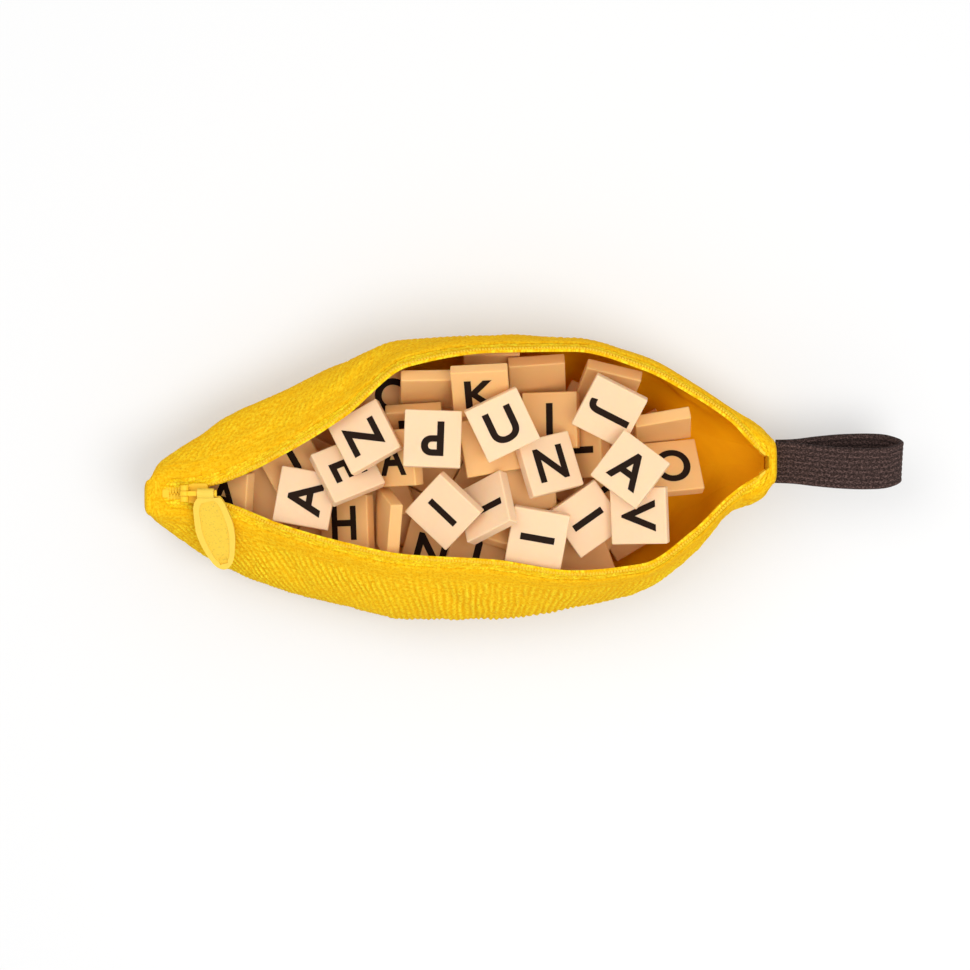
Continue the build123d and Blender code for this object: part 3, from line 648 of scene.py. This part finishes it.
class PouchColours(bpy.types.PropertyGroup):
    """Colours of the cloths, plastics and ink."""
    outer_cloth: bpy.props.FloatVectorProperty(
        name="Outer cloth", description="Ribbed cloth of the walls", subtype="COLOR", size=3,
        default=(0.97, 0.64, 0.006), min=0, max=1)
    lining: bpy.props.FloatVectorProperty(
        name="Lining", description="Smooth cloth inside the pouch", subtype="COLOR", size=3,
        default=(1.0, 0.41, 0.0008), min=0, max=1)
    zip_plastic: bpy.props.FloatVectorProperty(
        name="Zip", description="Coil, stops and slider", subtype="COLOR", size=3,
        default=(0.95, 0.58, 0.02), min=0, max=1)
    pull_tab: bpy.props.FloatVectorProperty(
        name="Pull tab", description="Soft tab of the slider", subtype="COLOR", size=3,
        default=(0.86, 0.585, 0.075), min=0, max=1)
    strap: bpy.props.FloatVectorProperty(
        name="Hand strap", description="Elastic webbing", subtype="COLOR", size=3,
        default=(0.030, 0.015, 0.012), min=0, max=1)
    tile: bpy.props.FloatVectorProperty(
        name="Tiles", description="Moulded plastic of the tiles", subtype="COLOR", size=3,
        default=(0.90, 0.625, 0.385), min=0, max=1)
    ink: bpy.props.FloatVectorProperty(
        name="Ink", description="Printed letters", subtype="COLOR", size=3,
        default=(0.014, 0.007, 0.004), min=0, max=1)


def colour(name):
    return tuple(getattr(bpy.context.scene.pouch_colours, name))


def shared(name, make, *values):
    """A finish that several pieces use, made when the first of them asks for it."""
    return bpy.data.materials.get(name) or make(name, *values)


def outer_material():
    return shared("ribbed_cloth", cloth_finish, colour("outer_cloth"), 0.5, True)


def tape_material():
    return shared("zip_tape_cloth", cloth_finish, colour("outer_cloth"), 0.42, False)


def lining_material():
    return shared("lining_weave", lining_finish, colour("lining"))


def zip_material():
    return shared("zip_enamel", moulded_finish, colour("zip_plastic"), 0.5, 1500.0, 0.00004)


# ------------------------------------------------------------------ outer cloth
HEM_EDGE = 4.5             # folded edge of the cloth, below the rim
HEM_STITCH = 8.6
FAN_X = 6.0                # the ribs lean towards this place on the belly
FAN_REACH = 125.0
WALL_FOLDS = {
    FRONT: [(-8, 12, 8, 34, 2.2, -0.7), (-14, 14, 0, 36, 3.0, 0.5), (-62, 10, -50, 26, 3.0, -0.5),
            (38, 12, 30, 30, 3.5, 0.5), (62, 9, 70, 20, 2.5, -0.6), (-84, 8, -72, 22, 3.0, 0.5)],
    BACK: [(-58, 11, -20, 20, 3.0, 0.55), (-66, 18, -30, 30, 3.2, -0.5), (-86, 9, -60, 16, 2.4, 0.5),
           (-10, 8, 22, 11, 2.0, 0.5), (48, 10, 76, 24, 3.0, -0.5), (12, 14, 40, 30, 4.0, 0.5)],
}


def outer_cloth(side):
    """One wall: ribs that fan out from the belly, a turned hem, soft folds and a belly seam."""
    sizes = bpy.context.scene.pouch_sizes
    places = np.linspace(-HALF_LENGTH, HALF_LENGTH, 670)
    share = places / HALF_LENGTH
    edge = HEM_EDGE * ramp(share, -0.968, -0.925) * (1 - ramp(share, 0.965, 0.992)) + 0.02
    grid, below = spread(side, places, 0.05, -edge, 70, 1.2)
    normal = outward(grid, side)
    x = grid[:, :, 0]
    drop = below - HEM_STITCH
    lean = 1 - np.clip(drop, 0, 90) / FAN_REACH
    phase = (FAN_X + (x - FAN_X) / lean) / (sizes.rib_pitch / MM)
    phase = phase + 0.22 * value_noise(x / 7, below / 5, 13) + 0.14 * value_noise(x / 2.3, below / 3.1, 14)
    strength = ramp(drop, 0.2, 3.2) * (0.72 + 0.28 * value_noise(x / 11, below / 9, 3))
    strength = strength * (0.8 + 0.35 * value_noise(x / 1.9, below / 2.6, 15))
    # The back wall's weaker ribs also make the cloth finish paint it with more amber shade.
    if side == BACK:
        strength = strength * (0.42 + 0.18 * value_noise(x / 25, below / 12, 9))
    seam = grid[:, :1, :]
    from_seam = np.linalg.norm(grid - seam, axis=2)
    raised = sizes.rib_relief / MM * strength * (0.5 - 0.5 * np.cos(2 * pi * phase))
    raised += 0.42 * ramp(HEM_STITCH + 2.2 - below, 0, 1.8) * ramp(below - edge[:, None], -0.01, 0.7)
    raised -= 0.28 * np.exp(-((below - HEM_STITCH) / 0.5) ** 2)
    raised += 0.18 * value_noise(x / 19, below / 13, 5) * ramp(drop, 0, 8) * ramp(from_seam, 2, 12)
    raised += 0.12 * value_noise(x / 5.5, below / 7, 6) * ramp(drop, -1, 4)
    raised += creases(x, below, WALL_FOLDS[side]) * ramp(from_seam, 3, 12)
    raised -= 0.5 * (1 - ramp(from_seam, 0.2, 2.0))
    under = CLOTH * ramp(below, 8.9, 9.9) - 0.02 * (1 - ramp(below, 8.9, 9.9))
    ends = ramp(HALF_LENGTH - np.abs(x), 0, 2.5)
    top = grid + normal * (raised * (0.25 + 0.75 * ends))[:, :, None]
    low = grid - normal * under[:, :, None]
    top[:, :, 2] = np.maximum(top[:, :, 2], 0.0)
    low[:, :, 2] = np.where(grid[:, :, 2] < 0.6, np.maximum(low[:, :, 2], 0.75), low[:, :, 2])
    maps = {"cloth": np.stack([x, below], axis=2), "rib": np.stack([phase, strength], axis=2)}
    made = shell(f"{word(side)}_cloth", top, low, maps)
    return dress(made, outer_material(), "root", f"{word(side)}_panel", slot="outer_cloth")


def end_ring(x, count):
    """Closed outline of the pouch at x, as y and z."""
    front = flank(x, FRONT)
    back = flank(x, BACK)[::-1]
    line = np.concatenate([front, back, front[:1]])
    lengths = lengths_along(line)
    return at_lengths(line, lengths, np.linspace(0, lengths[-1], count, endpoint=False))


END_WRAP = {-1: 5.2, 1: 1.6}       # how far the end cloth reaches over the walls
END_BULGE = {-1: 1.9, 1: 1.42}


def end_cloth(end):
    """Puckered cloth that wraps one end of the pouch and closes it."""
    count = 140
    wrap, bulge = END_WRAP[end], END_BULGE[end]
    outline = end_ring(end * HALF_LENGTH, count)
    middle = outline.mean(axis=0)
    turns = np.linspace(0, 2 * pi, count, endpoint=False)
    rings, shares = [], []
    for inside in np.linspace(1, 0, 8):
        ring = end_ring(end * (HALF_LENGTH - wrap * inside), count)
        away = ring - ring.mean(axis=0)
        away = away / np.linalg.norm(away, axis=1, keepdims=True)
        swell = 0.04 + 0.42 * ramp(1 - inside, 0.0, 0.3) + 0.12 * (1 - inside) * np.cos(9 * turns + 1.3)
        rings.append((end * (HALF_LENGTH - wrap * inside), ring + away * np.reshape(swell, (-1, 1))))
        shares.append(1 + wrap * inside / 6)
    rim = rings[-1][1]
    for angle in np.radians(np.linspace(10, 87, 9)):
        rings.append((end * (HALF_LENGTH + bulge * sin(angle)), middle + (rim - middle) * cos(angle) ** 0.75))
        shares.append(cos(angle))
    points = [np.column_stack([np.full(count, x), ring]) for x, ring in rings]
    points = np.concatenate(points + [[[end * (HALF_LENGTH + bulge), *middle]]])
    faces = []
    for r in range(len(rings) - 1):
        for i in range(count):
            j = (i + 1) % count
            faces.append([r * count + i, r * count + j, (r + 1) * count + j, (r + 1) * count + i])
    last = (len(rings) - 1) * count
    faces += [[last + i, last + (i + 1) % count, len(points) - 1] for i in range(count)]
    faces.append(list(range(count))[::-1])
    around = [np.stack([turns * 7, np.full(count, s * 7)], axis=1) for s in shares]
    around = np.concatenate(around + [[[0, 0]]])
    # Rib strength 0.25 gives the end cloths some of the cloth finish's painted shade and painted highlight.
    ribs = around * [1.0, 0.0] + [0, 0.25]
    hand = "left" if end < 0 else "right"
    made = finish_mesh(make_object(f"{hand}_end_cloth", points, faces, {"cloth": around, "rib": ribs}), 60.0)
    return dress(made, outer_material(), "root", f"{hand}_end_cap", slot="outer_cloth")


class POUCH_OT_outer_cloth(bpy.types.Operator):
    """Make both ribbed walls and the cloth that closes the ends"""
    bl_idname = "pouch.outer_cloth"
    bl_label = "Outer Cloth"

    def execute(self, context):
        caps = [end_cloth(-1), end_cloth(1)]
        for side, area, ends in ((FRONT, 0.0126, caps[:1]), (BACK, 0.0120, caps[1:])):
            made = outer_cloth(side)
        return {"FINISHED"}


# ------------------------------------------------------------------ lining
LINING_FOLDS = {
    BACK: [(62, 6, 96, 14, 2.0, 0.9), (70, 14, 96, 17, 2.2, 0.8), (78, 5, 74, 28, 2.2, 0.6),
           (60, 26, 92, 20, 2.6, 0.7), (88, 6, 86, 20, 1.6, 0.6)],
    FRONT: [(60, 8, 92, 10, 2.0, 0.9), (66, 16, 94, 13, 2.0, 0.7), (74, 6, 70, 26, 2.2, 0.6),
            (52, 22, 86, 20, 2.6, 0.8)],
}


def lining_cloth(side):
    """Inner bag: smooth cloth with broad folds at the strap end."""
    places = np.linspace(-0.965, 0.992, 330) * HALF_LENGTH
    grid, below = spread(side, places, 0.0, -2.3, 76)
    normal = outward(grid, side)
    x = grid[:, :, 0]
    free = ramp(x, 60, 74)
    fold = creases(x, below, LINING_FOLDS[side]) * free
    fold += 0.35 * (1 + value_noise(x / 9, below / 8, 21)) * free
    depth = 1.4 + np.clip(fold, 0, 1.6) * ramp(below, 2.5, 7)
    top = grid - normal * depth[:, :, None]
    low = grid - normal * (depth + 0.5)[:, :, None]
    made = shell(f"{word(side)}_lining_cloth", top, low, {"cloth": np.stack([x, below], axis=2)})
    return dress(made, lining_material(), "root", f"{word(side)}_lining", slot="lining_cloth")


def floor_binding():
    """Tape over the seam on the floor of the pouch."""
    reach = 0.965 * HALF_LENGTH
    places = np.linspace(-reach, reach, 160)
    halves = []
    for side in (FRONT, BACK):
        grid = wall(side, places, np.linspace(0, 4.5, 7))
        halves.append(grid[:, ::-1] if side == FRONT else grid[:, 1:])
    grid = np.concatenate(halves, axis=1)
    up = np.zeros_like(grid)
    up[:, :, 2] = 1
    across = np.broadcast_to(np.linspace(-4.5, 4.5, grid.shape[1]), grid.shape[:2])
    relief = 0.06 * np.cos(across * 2 * pi / 1.5)
    top = grid + up * (1.25 + relief)[:, :, None]
    low = grid + up * 1.12
    made = shell("floor_binding", top, low, {"cloth": np.stack([grid[:, :, 0], across], axis=2)})
    return dress(made, lining_material(), "root", "seam_binding", slot="lining_cloth")


class POUCH_OT_lining(bpy.types.Operator):
    """Make the lining and the binding over its seam"""
    bl_idname = "pouch.lining"
    bl_label = "Lining"

    def execute(self, context):
        for side in (FRONT, BACK):
            lining_cloth(side)
        floor_binding()
        return {"FINISHED"}


# ------------------------------------------------------------------ zip
TAPE_FOOT = 8.7            # lower edge of the tape, below the rim
TAPE_STITCH = 3.3
CLOSED_START = -96.6       # closed turns show from the bottom stop
CLOSED_END = -91.5         # to the slider


def zip_tape(side):
    """Woven tape between the hem and the coil, with a sewn groove."""
    reach = 0.985 * HALF_LENGTH
    places = np.linspace(-reach, reach, 420)
    rows = np.linspace(-TAPE_FOOT, -0.4, 30)
    grid = wall(side, places, rows)
    below = np.broadcast_to(-rows, grid.shape[:2])
    normal = outward(grid, side)
    x = grid[:, :, 0]
    relief = 0.22 * np.exp(-((below - 1.3) / 0.7) ** 2) - 0.2 * np.exp(-((below - TAPE_STITCH) / 0.35) ** 2)
    relief = relief - 0.25 * (1 - ramp(below, 0.4, 0.8))
    relief = relief + 0.05 * value_noise(x / 4, below / 3, 31)
    top = grid - normal * (0.1 - relief)[:, :, None]
    low = grid - normal * 0.9
    made = shell(f"{word(side)}_zip_tape", top, low, {"cloth": np.stack([x, below], axis=2)})
    return dress(made, tape_material(), "root", f"zip_tape_{word(side)}", slot="zip_tape")


def rim_frames(side, below, depth, pitch, low, high):
    """Places and axes of small blocks in a row along the rim."""
    fine = np.linspace(low * HALF_LENGTH, high * HALF_LENGTH, 800)
    grid = wall(side, fine, np.array([-below - 0.3, -below, -below + 0.3]))
    normal = outward(grid, side)[:, 1]
    line = grid[:, 1] - normal * depth
    lengths = np.concatenate([[0.0], np.cumsum(np.linalg.norm(np.diff(line, axis=0), axis=1))])
    want = np.arange(pitch / 2, lengths[-1], pitch)
    centres = at_lengths(line, lengths, want)
    forward = at_lengths(np.gradient(line, axis=0), lengths, want)
    forward /= np.linalg.norm(forward, axis=1, keepdims=True)
    up = at_lengths(normal, lengths, want)
    up -= forward * np.sum(up * forward, axis=1, keepdims=True)
    up /= np.linalg.norm(up, axis=1, keepdims=True)
    return centres, np.stack([forward, np.cross(up, forward), up], axis=1)


def zip_coil(side):
    """Row of coil turns sewn along one rim."""
    pitch = bpy.context.scene.pouch_sizes.coil_pitch / MM
    centres, axes = rim_frames(side, 0.25, 0.75, pitch, -0.945, 0.95)
    made = repeat(f"{word(side)}_zip_coil", bead(8, 6), centres, axes, (0.4 * pitch, 0.42, 0.45))
    return dress(made, zip_material(), "root", f"zip_teeth_{word(side)}", slot="zip_plastic")


def closed_coil(side):
    """Turns that show between the bottom stop and the slider, meshed with the other row's."""
    pitch = bpy.context.scene.pouch_sizes.coil_pitch / MM
    start = CLOSED_START + (pitch / 2 if side == FRONT else 0.0)
    centres, axes = rim_frames(side, 0.75, 0.02, pitch, start / HALF_LENGTH, CLOSED_END / HALF_LENGTH)
    made = repeat(f"{word(side)}_closed_coil", bead(8, 6), centres, axes, (0.52 * pitch, 1.2, 0.32))
    return dress(made, zip_material(), "root", slot="zip_plastic")


def stitch_row(seam, side, below, depth, high):
    """Sewn stitches along the hem or the tape."""
    pitch = bpy.context.scene.pouch_sizes.stitch_pitch / MM
    centres, axes = rim_frames(side, below, depth, pitch, -0.93, high)
    made = repeat(f"{word(side)}_{seam}_stitches", bead(8, 5), centres, axes, (0.38 * pitch, 0.2, 0.17))
    thread = darker(colour("outer_cloth"), 0.9)
    material = shared("sewing_thread", moulded_finish, thread, 0.7, 3000.0, 0.00005)
    return dress(made, material, "root", slot="zip_tape")


class POUCH_OT_zip(bpy.types.Operator):
    """Make the zip's tapes, coil and stitches, and finish its stops, slider and link"""
    bl_idname = "pouch.zip"
    bl_label = "Zip"

    def execute(self, context):
        for side in (FRONT, BACK):
            zip_tape(side)
            zip_coil(side)
            closed_coil(side)
            stitch_row("hem", side, HEM_STITCH, -0.02, 0.97)
            stitch_row("tape", side, TAPE_STITCH, 0.12, 0.96)
        for name in ("zip_bottom_stop", "zip_top_stop_front", "zip_top_stop_back",
                     "slider_body", "slider_bridge", "pull_link"):
            coat(NODES[name], zip_material())
        return {"FINISHED"}


class POUCH_OT_pull_tab(bpy.types.Operator):
    """Finish the slider's soft pull tab"""
    bl_idname = "pouch.pull_tab"
    bl_label = "Pull Tab"

    def execute(self, context):
        tab = NODES["pull_tab"]
        coat(tab, tab_finish("soft_tab", colour("pull_tab"), tab))
        return {"FINISHED"}


# ------------------------------------------------------------------ hand strap
STRAP_WIDTH = 15.0
STRAP_THICKNESS = 1.5
STRAP_TILT = radians(28.0)


def strap_frame():
    """Middle of the strap's root and its two cross directions."""
    front, back = flank(HALF_LENGTH, FRONT), flank(HALF_LENGTH, BACK)
    y = (front[:, 0].min() + back[:, 0].max()) / 2
    z = (front[0, 1] + front[-1, 1]) / 2 + 0.5
    across = np.array([0, cos(STRAP_TILT), sin(STRAP_TILT)])
    rise = np.array([0, -sin(STRAP_TILT), cos(STRAP_TILT)])
    return np.array([HALF_LENGTH + END_CAP, y, z]), across, rise


def hand_strap():
    """Loop of ribbed webbing, both layers sewn together at its root."""
    ribs = bpy.context.scene.pouch_sizes.webbing_ribs
    origin, across, rise = strap_frame()
    upper = [(-0.4, 0.80), (2.6, 0.95), (6.5, 1.45), (12.0, 2.9), (20.0, 4.5), (30.0, 5.25), (36.6, 4.1),
             (40.75, 0.0)]
    line = smooth_line(upper + [(u, -w) for u, w in reversed(upper[:-1])], 24)
    lengths = lengths_along(line)
    want = np.linspace(0, lengths[-1], 230)
    path = at_lengths(line, lengths, want)
    tangent = np.gradient(path, axis=0)
    tangent /= np.linalg.norm(tangent, axis=1, keepdims=True)
    turned = np.stack([-tangent[:, 1], tangent[:, 0]], axis=1)
    share = np.linspace(-1, 1, ribs * 7 + 1)
    side = share * STRAP_WIDTH / 2
    swell = 0.17 * np.abs(np.cos(share * ribs * pi / 2 + pi / 2 * (ribs % 2 == 0))) ** 0.8
    edge = 1 - 0.55 * ramp(np.abs(share), 0.94, 1.0)
    half = (STRAP_THICKNESS / 2 - 0.1) * edge + swell
    wave = 0.07 * value_noise(want[:, None] / 6, side[None, :] / 4, 41)
    grids = []
    for face in (1, -1):
        offset = face * half[None, :] + wave
        flat = path[:, None, :] + turned[:, None, :] * offset[:, :, None]
        grids.append(origin + flat[:, :, :1] * np.array([1.0, 0, 0]) + flat[:, :, 1:] * rise
                     + side[None, :, None] * across)
    shape = grids[0].shape[:2]
    uv = np.stack([np.broadcast_to(want[:, None], shape), np.broadcast_to(side[None, :], shape)], axis=2)
    rib = np.stack([uv[:, :, 0], np.broadcast_to((share[None, :] + 1) / 2 * ribs, shape)], axis=2)
    made = shell("hand_strap", grids[0], grids[1], {"cloth": uv, "rib": rib})
    material = webbing_finish("elastic_webbing", colour("strap"))
    dress(made, material, None, "strap_loop", "strap_anchor", slot="strap_webbing")
    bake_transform(made)
    return made


class POUCH_OT_strap(bpy.types.Operator):
    """Make the ribbed elastic hand strap"""
    bl_idname = "pouch.strap"
    bl_label = "Hand Strap"

    def execute(self, context):
        hand_strap()
        return {"FINISHED"}


# ------------------------------------------------------------------ tiles and letters
# Letter of each tile that shows one, and the direction in which it reads, in degrees
# from +X towards +Y.
LETTERS = {
    1: ("N", -15), 2: ("I", -30), 6: ("C", 40), 9: ("C", -20), 13: ("I", -20), 15: ("O", 5), 16: ("I", 60),
    19: ("A", 20), 20: ("J", 30), 21: ("D", 5), 22: ("A", 5), 23: ("H", 4), 24: ("K", -2), 25: ("I", -8),
    26: ("J", -117), 27: ("N", -1), 28: ("I", -55), 29: ("I", 82), 30: ("V", -94), 31: ("A", 80),
    32: ("E", -66), 33: ("Z", -38), 34: ("P", 178), 35: ("J", -62), 36: ("I", 50), 37: ("A", -37),
    38: ("U", 36),
}
FIRST_LOOSE = 26           # number of the first tile that lies on top of the others
CAPITAL_HEIGHT = 0.729     # of a text of size 1


def face_groups(node):
    """Directions of a tile's flat faces with their areas and middles, largest first."""
    mesh = node.data
    count = len(mesh.polygons)
    normals, areas, middles = np.empty(count * 3), np.empty(count), np.empty(count * 3)
    mesh.polygons.foreach_get("normal", normals)
    mesh.polygons.foreach_get("area", areas)
    mesh.polygons.foreach_get("center", middles)
    normals, middles = normals.reshape(-1, 3), middles.reshape(-1, 3)
    groups = []
    for n, a, m in zip(normals, areas, middles):
        for group in groups:
            if np.dot(group[0], n) > 0.9995:
                group[1] += a
                group[2] += m * a
                break
        else:
            groups.append([n, a, m * a])
    groups.sort(key=lambda g: -g[1])
    return [(g[0], g[1], g[2] / g[1]) for g in groups[:6]]


def letter_mark(number, letter, heading, height):
    """One printed letter on a tile's upper face."""
    node = NODES[f"letter_tile_{number:02d}"]
    groups = face_groups(node)
    up, _, middle = max(groups[:2], key=lambda g: g[0][2])
    want = np.array([cos(radians(heading)), sin(radians(heading)), 0])
    right = max((g[0] for g in groups[2:6]), key=lambda n: np.dot(n, want))
    right = right - up * np.dot(right, up)
    right = right / np.linalg.norm(right)
    above = np.cross(up, right)
    bpy.ops.object.select_all(action="DESELECT")
    bpy.ops.object.text_add(location=(0, 0, 0))
    text = bpy.context.object
    text.name = f"letter_mark_{number:02d}"
    text.data.body = letter
    text.data.size = 1.0
    text.data.offset = 0.024
    text.data.extrude = 0.004
    text.data.resolution_u = 8
    bpy.ops.object.convert(target="MESH")
    made = bpy.context.object
    points = np.array([v.co for v in made.data.vertices])
    low, high = points.min(axis=0), points.max(axis=0)
    centre = (low + high) / 2
    scale = height / CAPITAL_HEIGHT
    shift = Matrix.Translation(Vector(-centre))
    turn = Matrix((
        (right[0], above[0], up[0], middle[0]),
        (right[1], above[1], up[1], middle[1]),
        (right[2], above[2], up[2], middle[2]),
        (0, 0, 0, 1)))
    made.data.transform(turn @ Matrix.Diagonal((scale, scale, scale, 1)) @ shift)
    alone(made)
    bpy.ops.object.shade_smooth_by_angle(angle=radians(30))
    return dress(made, shared("letter_ink", ink_finish, colour("ink")), node["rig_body"], slot="tile_plastic")


class POUCH_OT_tiles(bpy.types.Operator):
    """Finish the tiles and print a letter on each face that shows"""
    bl_idname = "pouch.tiles"
    bl_label = "Letter Tiles"

    def execute(self, context):
        fresh = moulded_finish("moulded_tile", colour("tile"), 0.45, 1400.0, 0.00003, 0.25, 0.3)
        # Painted shade: the tiles below FIRST_LOOSE and the buried tiles get a darker, more orange copy of
        # the tile finish for the shade deep in the pouch.
        warm = tinted(colour("tile"), 0.97, 0.80, 0.50)
        shaded_copy = moulded_finish("aged_tile", warm, 0.5, 1400.0, 0.00003, 0.25, 0.4)
        for name, node in NODES.items():
            if name.startswith("letter_tile") or name == "buried_tiles":
                low = name == "buried_tiles" or int(name[-2:]) < FIRST_LOOSE
                coat(node, shaded_copy if low else fresh)
        for number, (letter, heading) in LETTERS.items():
            letter_mark(number, letter, heading, context.scene.pouch_sizes.letter_height)
        return {"FINISHED"}


# ------------------------------------------------------------------ stage
FLOOR_GREY = (0.68, 0.68, 0.68, 1)
FLOOR_GLOW = 0.175         # lifts the grey floor to white for the camera and for reflections
LIGHT_AIM = (0, 0, 0.02)
LIGHTS = (                 # name, place, size and power
    ("key_light", (0.30, -0.24, 0.92), 0.6, 3.9),
    ("fill_light", (-0.38, 0.30, 0.95), 0.8, 2.3),
)
SKY_STRENGTH = 0.75
CAMERA_PLACE = (0.00775, -0.002, 1.222)
CAMERA_LENS = 135.0


def floor_finish():
    """Pale floor that the camera sees as white, and that keeps the shadow."""
    material = bpy.data.materials.new("studio_floor")
    material.use_nodes = True
    tree = material.node_tree
    tree.nodes.clear()
    output = tree.nodes.new("ShaderNodeOutputMaterial")
    matt = tree.nodes.new("ShaderNodeBsdfDiffuse")
    matt.inputs["Color"].default_value = FLOOR_GREY
    glow = tree.nodes.new("ShaderNodeEmission")
    rays = tree.nodes.new("ShaderNodeLightPath")
    seen = tree.nodes.new("ShaderNodeMath")
    seen.operation = "MAXIMUM"
    tree.links.new(rays.outputs["Is Camera Ray"], seen.inputs[0])
    tree.links.new(rays.outputs["Is Glossy Ray"], seen.inputs[1])
    strength = tree.nodes.new("ShaderNodeMath")
    strength.operation = "MULTIPLY"
    strength.inputs[1].default_value = FLOOR_GLOW
    tree.links.new(seen.outputs[0], strength.inputs[0])
    tree.links.new(strength.outputs[0], glow.inputs["Strength"])
    both = tree.nodes.new("ShaderNodeAddShader")
    tree.links.new(matt.outputs[0], both.inputs[0])
    tree.links.new(glow.outputs[0], both.inputs[1])
    tree.links.new(both.outputs[0], output.inputs["Surface"])
    return material


def area_light(name, place, size, watts):
    """Round soft light that points at the pouch."""
    bpy.ops.object.select_all(action="DESELECT")
    bpy.ops.object.light_add(type="AREA", location=place)
    lamp = bpy.context.object
    lamp.name = name
    lamp.data.shape = "DISK"
    lamp.data.size = size
    lamp.data.energy = watts
    lamp.rotation_euler = (Vector(LIGHT_AIM) - Vector(place)).to_track_quat("-Z", "Y").to_euler()


class POUCH_OT_stage(bpy.types.Operator):
    """Add the floor, the soft lights and the camera overhead"""
    bl_idname = "pouch.stage"
    bl_label = "Studio Stage"

    def execute(self, context):
        bpy.ops.object.select_all(action="DESELECT")
        bpy.ops.mesh.primitive_plane_add(size=6.0, location=(0, 0, -0.0002))
        floor = bpy.context.object
        floor.name = "studio_floor"
        floor.data.materials.append(floor_finish())
        for light in LIGHTS:
            area_light(*light)
        world = bpy.data.worlds.new("studio_world")
        context.scene.world = world
        world.use_nodes = True
        world.node_tree.nodes["Background"].inputs["Color"].default_value = (1, 1, 1, 1)
        world.node_tree.nodes["Background"].inputs["Strength"].default_value = SKY_STRENGTH
        bpy.ops.object.select_all(action="DESELECT")
        bpy.ops.object.camera_add(location=CAMERA_PLACE)
        camera = bpy.context.object
        camera.name = "overhead_camera"
        camera.rotation_euler = (0, 0, 0)
        camera.data.lens = CAMERA_LENS
        camera.data.sensor_width = 36.0
        camera.data.clip_start = 0.01
        camera.data.clip_end = 20.0
        context.scene.camera = camera
        context.scene.view_settings.view_transform = "Standard"
        return {"FINISHED"}


class POUCH_PT_panel(bpy.types.Panel):
    """Shows the pouch's sizes, colours and making steps in the sidebar"""
    bl_idname = "POUCH_PT_panel"
    bl_label = "Letter Tile Pouch"
    bl_space_type = "VIEW_3D"
    bl_region_type = "UI"
    bl_category = "Tile Pouch"

    def draw(self, context):
        for group in (context.scene.pouch_sizes, context.scene.pouch_colours):
            column = self.layout.column(align=True)
            for name in group.__annotations__:
                column.prop(group, name)
        column = self.layout.column(align=True)
        for operator in OPERATORS:
            column.operator(operator.bl_idname)


OPERATORS = (POUCH_OT_outer_cloth, POUCH_OT_lining, POUCH_OT_zip, POUCH_OT_pull_tab, POUCH_OT_strap,
             POUCH_OT_tiles, POUCH_OT_stage)
CLASSES = (PouchSizes, PouchColours, *OPERATORS, POUCH_PT_panel)


def register():
    for cls in CLASSES:
        bpy.utils.register_class(cls)
    bpy.types.Scene.pouch_sizes = bpy.props.PointerProperty(type=PouchSizes)
    bpy.types.Scene.pouch_colours = bpy.props.PointerProperty(type=PouchColours)


def unregister():
    del bpy.types.Scene.pouch_colours
    del bpy.types.Scene.pouch_sizes
    for cls in reversed(CLASSES):
        bpy.utils.unregister_class(cls)


def main():
    register()
    for name in ("outer_cloth", "lining", "zip", "pull_tab", "strap", "tiles", "stage"):
        getattr(bpy.ops.pouch, name)()


if __name__ == "__main__":
    main()
